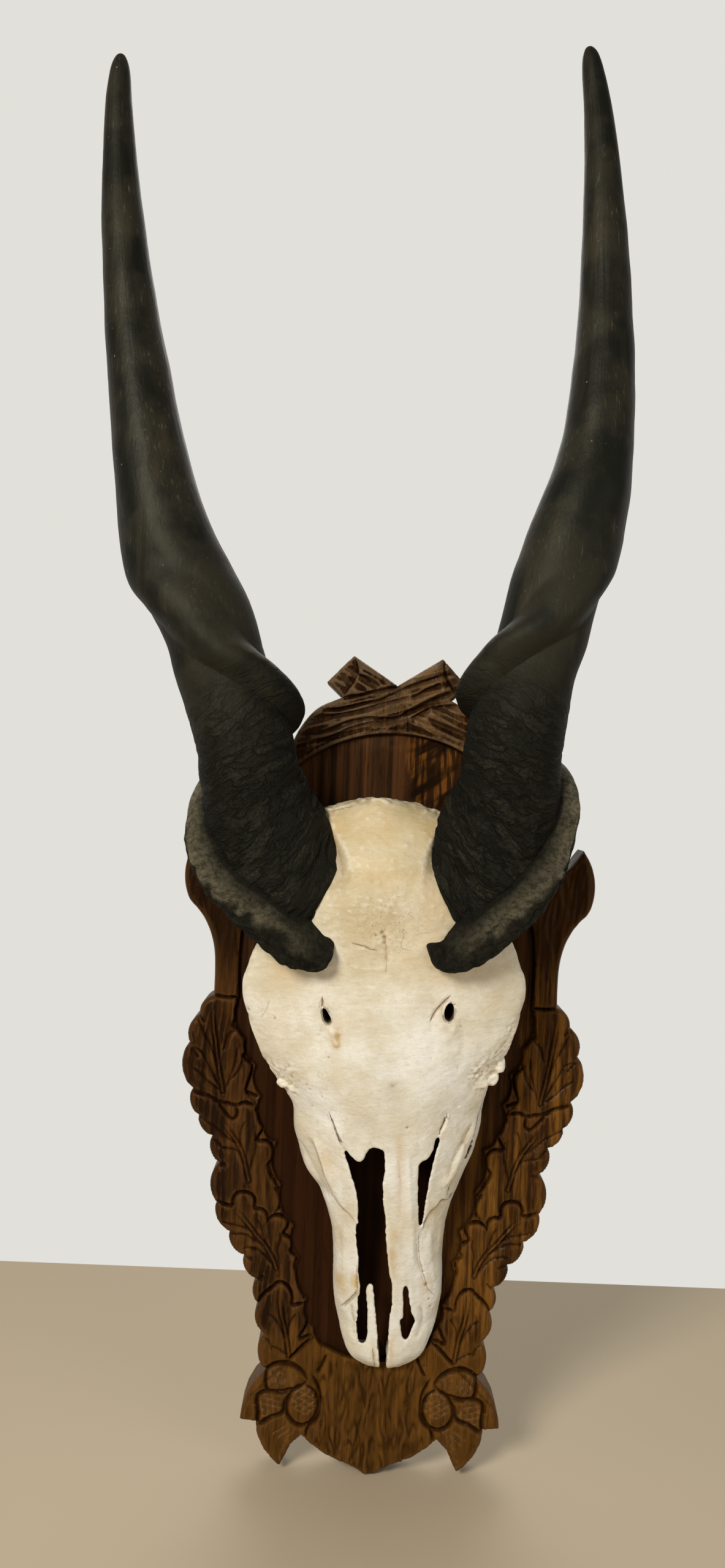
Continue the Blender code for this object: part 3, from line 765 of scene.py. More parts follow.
# Edges where one bone overlaps the next: points, reach, and how much the left side rises
BONE_PLATES = [
    ([(-57.9, -38.6), *CHEEK_EDGE, (-21.2, -105.1)], 6, 0.9),
    ([(51, -90), *NOTCH_EDGE, (27.5, -111.8)], 6, -0.9),
    ([(24.9, -114.7), *JAW_EDGE, (36.1, -165.9)], 5, 0.9),
    ([(-29.5, -179.3), (-24.7, -186.6), (-22.9, -197.6), (-22, -207.6)], 5, -0.6),
    ([(-33.5, -176.5), (-27.5, -168.5), (-20, -158)], 5, 1.3),
    ([(-21.4, -140), (-22.6, -152.7), (-22, -162)], 3, -0.9),
    (NAPE_PLATE_LEFT, 5, 0.9),
    (NAPE_PLATE_RIGHT, 5, 0.8),
    (BROW_GROOVE, 5, -0.8),
    ([(-40, -18), (-37, -27.3), (-34.8, -34.1), (-31, -43)], 6, 0.7),
    ([(45, -18), (42.5, -27.8), (39.5, -34.3), (37, -41)], 6, 0.7),
    ([*SLOT_EDGE, (45, -88)], 5, -1),
]
# Hairline cracks and sutures: points, and how dark
BONE_CRACKS = [
    ([(-24, 107.8), (-18.5, 105.9), (-15, 105.2), (-8.9, 102.5), (-3.5, 102)], 0.6),
    ([(10.5, 117), (13.6, 112.5), (11.3, 103.7), (20, 101.5)], 0.3),
    ([(20.5, 111.5), (27, 113.5), (32, 114)], 0.25),
    ([(-0.6, 114), (0.8, 105.6), (1.3, 94.8), (0.7, 85)], 0.3),
    ([(-43.6, 70), (-43.5, 60)], 0.8),
    ([(46.5, 70), (42.2, 65.6), (37.8, 61.1), (34.2, 56.7), (31, 50.5)], 1),
    (NAPE_PLATE_LEFT, 0.5),
    (NAPE_PLATE_RIGHT, 0.5),
    ([(-59, -37), *CHEEK_EDGE, (-20, -106)], 0.4),
    ([(-40, -17), (-37, -27.3), (-34.8, -34.1), (-31.5, -42)], 1.2),
    ([(-35.8, -27), (-33, -33.8), (-30.2, -40)], 1),
    ([(45, -18), (42.5, -27.8), (38.5, -36.3)], 1.2),
    ([(52, -90), *NOTCH_EDGE, (27, -112)], 0.9),
    ([(25, -111), *JAW_EDGE, (38, -168)], 0.55),
    ([(-34.5, -177.5), (-27.5, -168.5), (-20, -158)], 0.7),
    ([(-21, -138), (-21.4, -152.7), (-20.6, -161)], 0.6),
    ([(-9.8, -205), (-8.5, -225)], 0.6),
    ([(-80, 66), (-84, 57), (-88, 52)], 0.4),
    ([*SLOT_EDGE, (45, -90)], 1.3),
]
# Single spots: x, z, radius, depth, and how dirty
BONE_SPOTS = [
    (-15.5, 172.1, 2.4, -0.5, 0), (15.7, 173.6, 2.6, -0.7, 0.12), (-6.2, 112.7, 0.9, 0.8, 0.5),
    (-1.8, 114.5, 1.1, 1.1, 0.6), (-0.1, 110.9, 1.1, 1.1, 0.6), (-0.4, 107.4, 1, 0.9, 0.5),
    (13.2, 116.1, 0.9, 0.6, 0.3), (-39.7, 25.5, 0.8, 0.6, 0.3), (15.7, -27.6, 0.9, 0.9, 0.5),
    (-55.3, 3.7, 0.8, 0.7, 0.3), (-53.3, 0, 0.7, 0.7, 0.3), (-44.9, -5.1, 0.7, 0.6, 0.3),
    (-52.3, -14.2, 0.7, 0.5, 0.2), (-96.4, 57.7, 1.1, 0.8, 0.4), (-77.2, 53, 1, 0.6, 0.3),
    (27.8, -144.4, 1, 0.8, 0.3), (30.3, -155.8, 1.3, 1.2, 0.4), (32.4, -168.7, 1, 0.8, 0.3),
    (33.7, -175.4, 0.9, 0.7, 0.3), (16, 203.8, 1.5, 1, 0.4), (50, -89.5, 1.8, 2.4, 0.9),
    (5.4, 5, 2.4, 0.4, 0.25), (-41, 56, 5.5, 0.2, 0.25), (45, 57, 6.5, 0.2, 0.2),
    (-33.8, 40.8, 2.4, 0.5, 0.25), (-33.8, 35.2, 2.8, -0.8, 0), (-36.8, 43.8, 3, -0.8, 0),
    (42.4, 38.1, 3.4, -0.9, 0), (47.7, 45.2, 3, -0.7, 0), (50.6, 30, 3.6, -0.7, 0),
    (0, 194, 13, -1.2, 0), (8, 0, 13, 0.7, 0), (40, 60, 9, 1.4, 0),
    (-40, 60, 9, 1, 0), (72, 62, 20, 0.8, 0), (-30, -30, 12, -0.7, 0),
]
BEADED = [(92, 52), (88, 34), (82, 26), (74, 18), (66, 10), (58, 0)]
FAR = 9.0                  # a distance that counts as away from every crack
CRACK_REACH = 3.0
BASE_SOFTENING = 60        # rounds of averaging round the horns' bony bases
SKULL_TRIANGLES = 196000   # most triangles the skull keeps; a piece has to stay under 200,000


# %% Sculpt the skin
def soften_horn_bases(mesh):
    """Blends the horns' bony bases with the skull's sides."""
    points = vertex_array(mesh)
    x, z, front = in_skull_frame(points)
    share = smoothstep((abs(x) - 46) / 10) * smoothstep((z - 78) / 14) * smoothstep((front - 4) / 8)
    set_vertices(mesh, points + share[:, None] * (averaged(mesh, BASE_SOFTENING) - points))


def add_drawn_marks(rise, dirt_and_shade, seen, x, z):
    """Adds the drawn lines, plates and spots at the points that are seen."""
    for line, width, depth in BONE_LINES:
        mark = stroke(x, z, flow(line, 2.0), width, 0.2, 1.0 if width < 4 else 1.6)
        rise[seen] -= depth * smoothstep(mark)
    for line, reach, height in BONE_PLATES:
        rise[seen] += height * step_along(x, z, flow(line, 2.0), reach)
    for spot_x, spot_z, radius, depth, dark in BONE_SPOTS:
        near = np.where((abs(x - spot_x) < 2.5 * radius) & (abs(z - spot_z) < 2.5 * radius))[0]
        mark = blob(x[near], z[near], (spot_x, spot_z), (radius, radius))
        rise[seen[near]] -= depth * mark
        dirt_and_shade[seen[near]] = np.maximum(dirt_and_shade[seen[near]], dark * mark)


def add_crown(rise, dirt_and_shade, grain, facing, x, z):
    """Adds the nape's lumpy lip, the low crown and the hollow outside each ridge, which gets
    painted shade.
    """
    rim = smoothstep(stroke(x, z, flow(NAPE_RIM, 2.0), 5.5, 0.1))
    rise += rim * (0.3 + 1.8 * lumps(grain, (6, 11, 6), 3))
    rise += facing * (0.8 * blob(x, z, (2, 131), (28, 9)) - 2.2 * blob(x, z, (1, 150), (36, 9)))
    ridges = smooth_table(TEMPORAL_RIDGES, z)
    high = smoothstep((z - 138) / 34) * smoothstep((204 - z) / 8)
    outside = np.maximum(ridges[:, 0] - x, x - ridges[:, 1])
    rise -= 3.6 * high * smoothstep((outside + 1.5) / 9) * facing
    # painted shade: the hollow outside each ridge is darkened where the horn shades it
    np.maximum(dirt_and_shade, 0.5 * high * smoothstep((outside - 1) / 6), out=dirt_and_shade)


def add_eye_rims(rise, x, z, front):
    eye_x, eye_z, eye_front = EYE_CENTRE
    away = np.sqrt(
        ((abs(x) - eye_x) / EYE_RADII[0]) ** 2
        + ((z - eye_z) / EYE_RADII[1]) ** 2
        + ((front - eye_front) / EYE_RADII[2]) ** 2
    )
    rise += 1.2 * np.exp(-(((away - 1.06) / 0.07) ** 2)) * (front > 40)


def add_uneven_bone(rise, beads, grain, facing, x, z):
    """Adds coarse grain beside the beaded seam and soft unevenness everywhere."""
    rise += 0.8 * beads * np.clip(lumps(grain, (2.9, 2.9, 2.9), 8), -0.5, 1)
    corner = smoothstep((abs(x) - 58) / 8) * smoothstep((24 - z) / 8) * smoothstep((z + 12) / 8)
    rise += 0.9 * corner * rough_lumps(grain, (5, 5, 5), 12, 2)
    rise += 0.9 * lumps(grain, (34, 30, 40), 21) + 0.45 * lumps(grain, (13, 13, 16), 22)
    rise += (0.16 + 0.16 * smoothstep((z - 70) / 40)) * rough_lumps(grain, (5.5, 5, 4), 23, 2)
    crossways = lumps(grain, (16, 16, 2.6), 24)
    rise += 0.2 * crossways * facing * smoothstep((60 - abs(z - 75)) / 30)
    lengthways = lumps(grain, (2.8, 6, 22), 25)
    rise += 0.16 * lengthways * smoothstep((-10 - z) / 30)


def store_cracks(mesh, seen, x, z):
    """Stores the signed distance to the nearest crack, and how dark that crack is."""
    nearest = np.full(len(x), FAR)
    crack = np.full(len(mesh.vertices), FAR)
    cracked = np.zeros(len(mesh.vertices))
    for line, dark in BONE_CRACKS:
        away, along, side = line_distance(x, z, flow(line, 2.0))
        closer = away < np.minimum(nearest, CRACK_REACH)
        nearest[closer] = away[closer]
        crack[seen[closer]] = (side * away)[closer]
        ends = between_ends(along, 0.12)
        cracked[seen[closer]] = (dark * ends * smoothstep((2.6 - away) / 1.2))[closer]
    store(mesh, "crack", crack)
    store(mesh, "cracked", cracked)


def sculpt_bone(mesh):
    """Moves the skin along its normals and stores what the material reads."""
    points = vertex_array(mesh)
    normals = vertex_array(mesh, "normal")
    grain = points / MM
    x, z, front = in_skull_frame(points)
    facing = smoothstep((-normals[:, 1] - 0.12) / 0.35)
    rise, dirt_and_shade, beads = np.zeros((3, len(x)))
    seen = np.where((facing > 0.01) & (front > 4.0))[0]
    add_drawn_marks(rise, dirt_and_shade, seen, x[seen], z[seen])
    add_crown(rise, dirt_and_shade, grain, facing, x, z)
    add_eye_rims(rise, x, z, front)
    beads[seen] = stroke(x[seen], z[seen], BEADED, 9.0, 0.1)
    add_uneven_bone(rise, beads, grain, facing, x, z)
    # The sawn back stays flat and on the panel
    flat = smoothstep((front - 0.6) / 2.5)
    points += normals * (rise * flat * MM)[:, None]
    points[:, 1] = np.minimum(points[:, 1], -(GROUND + 0.2) * MM)
    set_vertices(mesh, points)
    # inner faces of the nose and the brow holes, which the material darkens as painted shade
    inside_nose = smoothstep((0.15 + normals[:, 1]) / 0.5) * (front > 3) * (z < 20)
    buried = smoothstep((skull_front(x, z) - front - 2.5) / 3)
    inside_hole = buried * (abs(z - 57) < 12) * (abs(abs(x) - 43) < 10) * (front > 10)
    # dirt round pores and holes, with painted shade in the hollows beside the horns
    store(mesh, "dirt_and_shade", np.clip(dirt_and_shade * facing, 0, 1))
    store(mesh, "inner", np.clip(np.maximum(inside_nose, inside_hole), 0, 1))
    store(mesh, "porous", np.clip(blob(x, z, (2, 121), (25, 24)) * facing, 0, 1))
    store_cracks(mesh, seen, x[seen], z[seen])
    return x, z


# %% Colour spots of the bone, and fewer triangles where it is plain
# x, z, radius across, radius along, strength
YELLOW = [
    (0, 182, 45, 22, 0.55), (2, 152, 32, 10, 0.35), (1, 112, 22, 20, 0.25),
    (36, 137, 10, 12, 0.6), (35, 90, 17, 13, 0.6), (36, 110, 10, 12, 0.3), (-66, 92, 14, 12, 0.4),
    (-33.8, 35.6, 2.4, 3.2, 1.6), (-33.8, 41, 2.6, 2, 0.8), (-32, 46, 6, 8, 0.4),
    (-40.5, -80, 3, 7, 0.7), (6.8, -113, 4, 7, 0.7), (4.8, -129, 4, 8, 0.8), (5, -142, 3, 9, 0.6),
    (-34.6, -152, 5, 5, 0.7), (-22.4, -152, 2.4, 6, 1.7), (-9, -214, 2.4, 11, 1.2),
    # the spots at (-42, 186), (44, 184) and (-50, 190) tint the hollows beside the horns tan:
    # partly stain, partly painted shade
    (3.5, -206, 3, 14, 0.8), (-42, 186, 16, 10, 0.6), (44, 184, 14, 12, 0.6),
    (-78, 40, 14, 22, 0.35), (-45, -62, 9, 16, 0.45), (-33, -126, 6, 18, 0.35),
    (-33, -160, 5, 8, 0.6), (50, -72, 7, 12, 0.3), (58, -50, 6, 14, 0.3), (36, -98, 6, 5, 0.5),
    (30, -160, 5, 10, 0.4), (-50, 190, 8, 8, 0.5), (62, 90, 24, 12, 0.2), (0, -228, 30, 14, 0.3),
    (-30, -100, 8, 14, 0.3), (40, -120, 8, 20, 0.25),
]
PINK = [
    (10, -36, 2.6, 4, 1), (10.3, -48, 3, 10, 0.9), (10.6, -66, 2.6, 16, 0.6),
    (10.4, -90, 2.4, 14, 0.35), (-58, -36.7, 5, 5, 0.4), (-34, 50, 8, 9, 0.3), (40, 60, 8, 8, 0.35),
    (37, 137, 14, 14, 0.3), (2, 192, 14, 6, 0.3), (-70, 88, 12, 12, 0.3),
]
GREY = [
    (5, 3, 7, 8, 0.6), (0, -4, 10, 7, 0.35), (-12, 20, 22, 30, 0.15), (-17, -23, 10, 6, 0.4),
    # the spot below is painted shade along the step under the crown; the others are grey patches
    (2, 134, 26, 12, 0.35),
]


def add_spots(mesh, name, spots, x, z):
    total = np.zeros(len(x))
    for spot_x, spot_z, across, along, strength in spots:
        total += strength * blob(x, z, (spot_x, spot_z), (across, along))
    store(mesh, name, np.clip(total, 0, 1))


def thinned(name, mesh, triangles):
    """The mesh as a new object with at most so many triangles, kept where it bends."""
    thing = add_object(name, mesh)
    mesh.calc_loop_triangles()
    share = triangles / len(mesh.loop_triangles)
    if share < 1:
        step = thing.modifiers.new("fewer", "DECIMATE")
        step.ratio = share
    result = baked(thing, name)
    result.shade_smooth()
    return add_object(name, result)


soften_horn_bases(skull_mesh)
spot_x, spot_z = sculpt_bone(skull_mesh)
store(skull_mesh, "relief", relief(skull_mesh, 6))
for label, spots in (("yellow", YELLOW), ("pink", PINK), ("grey", GREY)):
    add_spots(skull_mesh, label, spots, spot_x, spot_z)
skull = thinned("skull", skull_mesh, SKULL_TRIANGLES)
skull.data.materials.clear()
skull.data.materials.append(bone)
print("skull:", len(skull.data.polygons), "faces")

# %% [markdown]
# ## The horns
#
# An eland's horn is a round core with one keel that winds round it like the thread of
# a screw, tight at the skull and fading out near the middle. So a ring of the horn is
# a circle plus a hump, and one table says at each height where the hump points and how
# tall it is. The rings are tilted near the skull, which is why the folds run aslant.

# %% Tables of the horns
HORN_BASE = [
    (118, 46, 56, 2), (125, 51, 60, 10), (132, 56, 64, 21), (140, 61, 67, 31),
    (150, 66, 69, 38), (160, 70, 70, 40), (172, 75.5, 71, 39.5),
]
LEFT_CORE = HORN_BASE + [
    (190, 82.5, 71, 38), (212, 90, 70, 35.5), (228, 94.5, 69, 35), (250, 99, 68, 34.5),
    (283, 110, 65, 32.5), (305, 116.5, 63, 33), (325, 121.5, 62, 33), (342, 128, 61, 33),
    (359, 137, 59, 33), (387, 149.5, 57, 32), (416, 158.5, 55, 30), (459, 167, 51, 26.5),
    (502, 173, 47, 23.7), (546, 179, 43, 20.8), (590, 184, 39, 18), (634, 188, 36, 15.7),
    (678, 190.5, 33, 12.6), (723, 191.5, 31, 9.7), (743, 190.8, 30, 7.9), (752, 190.3, 30, 6.2),
    (757.5, 190, 30, 3.9), (759.4, 190, 30, 2.2), (760, 190, 30, 0.8),
]
RIGHT_CORE = HORN_BASE + [
    (190, 80.5, 71, 37.5), (207, 87, 70, 34.5), (235, 91.5, 69, 34.5), (266, 98, 67, 34),
    (297, 107, 64, 31), (323, 115.5, 62, 32), (345, 121.5, 60, 32), (362, 126.5, 59, 32),
    (385, 134.5, 57, 31.5), (402, 141, 56, 31), (428, 150.3, 54, 29.3), (457, 156.6, 51, 26.3),
    (485, 160.5, 49, 24.3), (529, 164, 45, 21.6), (573, 166, 41, 18.7), (617, 166.5, 38, 16.6),
    (661, 166, 35, 13.7), (691, 165, 33, 11.9), (721, 163, 31, 9.9), (744, 160.3, 30, 8),
    (755, 158.8, 30, 6.2), (760.5, 158, 30, 3.9), (762.4, 158, 30, 2.2), (763, 158, 30, 0.8),
]
# z, the keel's angle in degrees (0 inner side, 90 front, 180 outer side), its height,
# its half width in degrees, and how rounded its flanks are
HORN_KEEL = [
    (118, 60, 30, 26, 0.5), (125, 76, 42, 26, 0.5), (132, 85, 31, 25, 0.5),
    (140, 91, 25, 24, 0.5), (150, 100, 19, 23, 0.55), (160, 112, 16.5, 23, 0.6),
    (172, 126, 16.5, 22, 0.6), (184, 145, 18.5, 22, 0.6), (195, 162, 17.5, 22, 0.6),
    (210, 186, 15.5, 23, 0.7), (230, 232, 16, 26, 0.8), (250, 300, 16, 30, 0.9),
    (267, 352, 15, 34, 1.0), (296, 402, 13, 38, 1.3), (322, 446, 10, 42, 1.6),
    (345, 473, 8, 48, 1.8), (360, 494, 7, 54, 2.0), (380, 528, 6, 64, 2.0),
    (410, 572, 4, 74, 2.0), (460, 610, 1.5, 80, 2.0), (520, 640, 0, 80, 2.0),
]
LEFT_LIFT = [(140, 0), (200, -3), (260, -6.5), (325, -5), (352, 3), (385, 0)]
RIGHT_LIFT = [(140, 0), (200, 0), (260, 6.5), (400, 6.5)]
RING_DIP = [
    (118, 30), (125, 32), (132, 38), (140, 42), (160, 42), (195, 38), (210, 30),
    (235, 12), (262, 0),
]
# Where the keel's blunt root lies on the forehead, pulled into shape:
# side, x, z, reach, and the move in x and z
ROOT_PULLS = [
    (-1, -46, 103, 26, -1, -11), (-1, -41, 92, 10, 3, -3), (-1, -33, 110, 8, -3, -2),
    (-1, -130, 180, 30, -4, 0), (1, 44, 107, 26, -3, -14), (1, 36, 96, 10, -1, -3),
    (1, 35, 104, 8, 2, -1), (1, 130, 195, 26, 4, 0),
]
HORN_RINGS = 430
HORN_SIDES = 210
KEEL_CROWDING = 1.35       # above 1, points crowd towards the keel
FOLD_SLANT = 10.0          # how much higher a fold sits at the inner side, mm
TIP_ROWS = [0.15, 0.4, 0.8, 1.4, 3.2]    # extra rings this far below a tip round it off


# %% Folds and bark of a horn
def horn_folds(z, turn, keel, on_keel, spots, seed):
    """Height and shade of a horn's folds, bark, fibres and dents, in millimetres."""
    z, turn, keel, on_keel = (values.ravel() for values in (z, turn, keel, on_keel))
    wobble = 3.2 * lumps(spots, (26, 26, 18), seed) + 1.2 * lumps(spots, (9, 9, 9), seed + 1)
    slant = z - FOLD_SLANT * np.cos(turn) * smoothstep((420 - z) / 200) + wobble
    low = smoothstep((330 - z) / 150)
    inner = 0.35 + 0.65 * np.clip(0.5 + 0.5 * np.cos(turn - 0.5), 0, 1)
    body = 1 - 0.8 * keel
    # Wrinkles run round the horn and follow the slant, broken and uneven
    around = np.column_stack([np.cos(turn) * 34, np.sin(turn) * 34, slant])
    wide = lumps(around, (24, 24, 9), seed + 2)
    small = lumps(around, (17, 17, 4.2), seed + 12)
    crease = np.clip(1 - np.abs(lumps(around, (23, 23, 8.5), seed + 10)) * 4.0, 0, 1)
    patchy = np.clip(0.6 + 1.0 * lumps(spots, (22, 22, 14), seed + 3), 0, 1)
    folds = low * inner * body * (1.5 * wide + 1.2 * small - 2.0 * smoothstep(crease) * patchy)
    # Bark on the lower keel: an upper edge, slabs, slanted cracks and ridges along it
    from_crest = np.abs(on_keel)
    reach = smoothstep((235 - z) / 50)
    bark = reach * smoothstep((1.15 - from_crest) / 0.3)
    rough = reach * keel
    folds = folds + rough * 1.2 * np.exp(-(((on_keel + 0.38) / 0.16) ** 2))
    broken = np.clip(0.5 + lumps(spots, (16, 16, 16), seed + 15), 0, 1)
    seam = reach * broken * np.exp(-(((from_crest - 1.02) / 0.13) ** 2))
    folds = folds - 1.2 * seam
    slab = np.abs(lumps(spots, (13, 13, 7), seed + 4))
    crack = np.clip(1 - slab * 6, 0, 1) * np.clip(0.4 + lumps(spots, (18, 18, 18), seed + 5), 0, 1)
    knobs = rough_lumps(spots, (11, 11, 8), seed + 6, 3)
    lengthways = lumps(np.column_stack([on_keel * 16, z, 0 * z]), (5, 24, 9), seed + 16)
    folds = folds + rough * (1.3 * knobs - 2.0 * crack + 0.8 * lengthways)
    worn = smoothstep((2.4 - from_crest) / 1.4) * smoothstep((215 - z) / 40)
    folds = folds + 0.5 * worn * lumps(spots, (5, 5, 5), seed + 13)
    stump = keel * smoothstep((158 - z) / 25)
    folds = folds + 2.2 * stump * rough_lumps(spots, (10, 10, 10), seed + 11, 3)
    # Long fibres on the smooth upper horn, and soft dents everywhere
    round_horn = np.column_stack([np.cos(turn) * 60, np.sin(turn) * 60, z])
    fibre = lumps(round_horn, (3.2, 3.2, 55), seed + 7)
    folds = folds + 0.13 * fibre * smoothstep((z - 230) / 120)
    folds = folds + 0.7 * lumps(spots, (30, 30, 42), seed + 8) * smoothstep((760 - z) / 200)
    folds = folds + 0.28 * rough_lumps(spots, (7, 7, 5), seed + 9, 2) * (0.25 + 0.75 * low)
    # painted shade for the creases and the keel's seam, together with the bark's dark cracks
    deep = np.clip(0.6 * low * inner * body * crease * patchy + rough * crack + 0.8 * seam, 0, 1)
    return folds, deep, bark, around * MM


# %% A horn's rings
def core_line(core, side, z):
    """The core's x, front and radius at each height, and which way its outer side faces."""
    out, front, radius = smooth_table(core, z).T
    rise = (smooth_table(core, z + 1.0) - smooth_table(core, z - 1.0)).T
    along_x, along_front = side * rise[0], rise[1]
    length = np.sqrt(along_x**2 + 4.0 + along_front**2)
    outer = np.stack([2.0 / length, -along_x / length], axis=-1)
    return side * out, front, radius, side * outer / np.hypot(*outer.T)[:, None]


def pulled(side, x, z):
    """The ring points with the keel's root pulled into shape."""
    for pull_side, pull_x, pull_z, reach, move_x, move_z in ROOT_PULLS:
        if pull_side == side:
            share = blob(x, z, (pull_x, pull_z), (reach, reach))
            x, z = x + share * move_x, z + share * move_z
    return x, z


def horn_surface(side, seed):
    """All ring points of one horn in metres, with the numbers its material reads."""
    core = RIGHT_CORE if side > 0 else LEFT_CORE
    rings = np.linspace(0, 1, HORN_RINGS)
    z = core[0][0] + (core[-1][0] - core[0][0]) * rings**1.5
    z = np.union1d(z, core[-1][0] - np.array(TIP_ROWS))
    x, front, radius, outer = core_line(core, side, z)
    lift = smooth_table(RIGHT_LIFT if side > 0 else LEFT_LIFT, z)[:, 0]
    keel_at, keel_height, keel_width, flank = smooth_table(HORN_KEEL, z - lift).T[:, :, None]
    dip = np.radians(smooth_table(RING_DIP, z)[:, 0])[:, None]
    share = 2.0 * np.arange(HORN_SIDES) / HORN_SIDES - 1.0
    away = (np.sign(share) * 180.0 * np.abs(share) ** KEEL_CROWDING)[None, :]
    hump = np.maximum(1.0 - (away / keel_width) ** 2, 0.0)
    turn = np.radians(keel_at + away)
    ahead = np.stack([np.zeros_like(dip), -np.sin(dip), np.cos(dip)], axis=-1)
    across = -np.cos(turn)

    def ring_points(reach):
        up = np.sin(turn) * reach
        point_x = x[:, None] + outer[:, 0:1] * across * reach
        point_z = z[:, None] + outer[:, 1:2] * across * reach + ahead[..., 1] * up
        return point_x, point_z, front[:, None] + ahead[..., 2] * up

    reach = radius[:, None] + keel_height * hump**flank
    plain = np.stack(ring_points(reach), axis=-1).reshape(-1, 3)
    level = np.broadcast_to(z[:, None], reach.shape)
    keel = np.clip(hump, 0, 1) ** 0.6 * smoothstep(keel_height / 14)
    on_keel = away / keel_width
    folds, deep, bark, skin = horn_folds(level, turn, keel, on_keel, plain, seed)
    ends = smoothstep((level - core[0][0]) / 3) * smoothstep((core[-1][0] + 2 - level) / 10)
    reach = reach + folds.reshape(reach.shape) * ends
    point_x, point_z, point_front = ring_points(reach)
    jagged = 0.3 * lumps(plain, (9, 9, 9), seed + 20).reshape(level.shape)
    # the keel's upper flank, painted lighter: partly paler bark, partly a painted highlight
    light_from = 0.3 * smoothstep((level - 178) / 22) - 0.40 + jagged
    upper = keel * smoothstep((light_from - on_keel) / 0.3) * smoothstep((level - 130) / 40)
    numbers = {
        "deep": deep, "bark": bark, "skin": skin, "along": level.ravel(), "upper": upper.ravel(),
    }
    points = place_on_skull(*pulled(side, point_x, point_z), point_front)
    return np.clip(points, *np.array(cad_box)), numbers


def build_horn(name, side, seed, finish):
    rings, numbers = horn_surface(side, seed)
    made = add_loft(name, rings)
    for label, values in numbers.items():
        store(made.data, label, values)
    store(made.data, "relief", relief(made.data, 6))
    made.data.shade_smooth()
    made.data.materials.append(finish)
    return made


horn_skin = bpy.data.materials.new("dark horn")
horns = [
    build_horn("horn_left", -1, 40, horn_skin),
    build_horn("horn_right", 1, 70, horn_skin),
]
print("horns:", [len(horn.data.vertices) for horn in horns], "vertices")

# %% [markdown]
# ## The board's outline and its drawing
#
# A carver first saws the board's outline and then draws the leaves on it. We do the
# same: the outline is a list of curves and lobes, and the drawing is a set of lines in
# millimetres, one half of it mirrored to the other side with a slightly unsteady hand.

# %% The outline
LOG_ENDS = [(0, 292), (34, 314), (54, 293), (42, 282)]
ARM_IN = [(42, 282), (62, 271.5), (77, 250), (83, 225), (84, 200), (90, 172), (104, 153),
          (120, 149), (136, 157), (147.7, 171)]
ARM_OUT = [(147.7, 171), (153.5, 161), (156.5, 151), (157.4, 141), (156, 131), (152.6, 122.5),
           (146, 115.5), (140, 107), (135.5, 97), (132.8, 86), (131.6, 72), (131.6, 50)]
FLANK_NOTCHES = [
    (131.6, 50), (141.6, 35), (148.5, 13.5), (145, -22), (139.5, -42), (128.5, -57.5),
    (122.3, -78), (123.5, -108), (112.6, -130), (101, -148), (90.6, -166),
    (88.6, -185), (83.2, -207.5), (81, -236),
]
ACORN_TIPS = [
    (81, -236), (90, -246), (95.5, -256), (98.5, -266), (99.3, -273.5), (87, -275), (86, -284),
    (81, -295), (74, -303), (68, -308), (64.5, -302), (60, -292), (52, -284), (44, -291),
]
FOOT = [(44, -291), (34, -298), (22, -303), (12, -307), (4, -312)]
PANEL_NOTCHES = [
    (113, 49), (107, 17), (98, -3), (93, -26), (90, -51), (80, -61), (75, -93),
    (64, -124), (59.5, -149), (52, -180), (46, -202), (36, -216),
]
PANEL_FOOT = [(36, -216), (22, -222), (0, -226), (-22, -222), (-36, -216)]
PANEL_SIDE = [(78, 220), (79, 195), (86, 160), (100, 135), (111, 110), (113.5, 80), (113, 49)]


def lobed(notches, bulge, steps):
    """Arcs between the notches, each standing out to the left of its chord."""
    points = [notches[0]]
    for (ax, az), (bx, bz) in zip(notches, notches[1:]):
        for step in range(1, steps):
            share = step / steps
            lift = bulge * (4 * share * (1 - share)) ** 0.8
            points.append((
                ax + (bx - ax) * share - (bz - az) * lift,
                az + (bz - az) * share + (bx - ax) * lift,
            ))
        points.append((bx, bz))
    return points


def joined(*lines):
    """One list of points from lines that end where the next begins."""
    points = []
    for line in lines:
        line = [tuple(float(v) for v in point) for point in line]
        points += line[1:] if points and math.dist(points[-1], line[0]) < 0.2 else line
    return points


def mirrored(half):
    left = [(-x, z) for x, z in reversed(half) if x > 0.01]
    return half + left


def evenly(loop, step):
    """Points about a step apart along a closed loop, keeping its corners."""
    points = []
    for start, end in zip(loop, loop[1:] + loop[:1]):
        pieces = max(round(math.dist(start, end) / step), 1)
        for piece in range(pieces):
            share = piece / pieces
            points.append((start[0] + (end[0] - start[0]) * share,
                           start[1] + (end[1] - start[1]) * share))
    return points


outline = mirrored(joined(
    LOG_ENDS, flow(ARM_IN, 2.0), flow(ARM_OUT, 2.0), lobed(FLANK_NOTCHES, 0.20, 9),
    ACORN_TIPS, flow(FOOT, 3.0),
))
arch_centre = ARCH_TOP - ARCH_RADIUS
arch = [
    (ARCH_RADIUS * math.sin(turn), arch_centre + ARCH_RADIUS * math.cos(turn))
    for turn in np.radians(np.linspace(0, 41.6, 20))
]
panel_half = joined(arch, flow(PANEL_SIDE, 3.0), lobed(PANEL_NOTCHES, 0.16, 6), PANEL_FOOT[:3])
panel = mirrored(panel_half)
print("outline:", len(outline), "points; panel:", len(panel), "points")

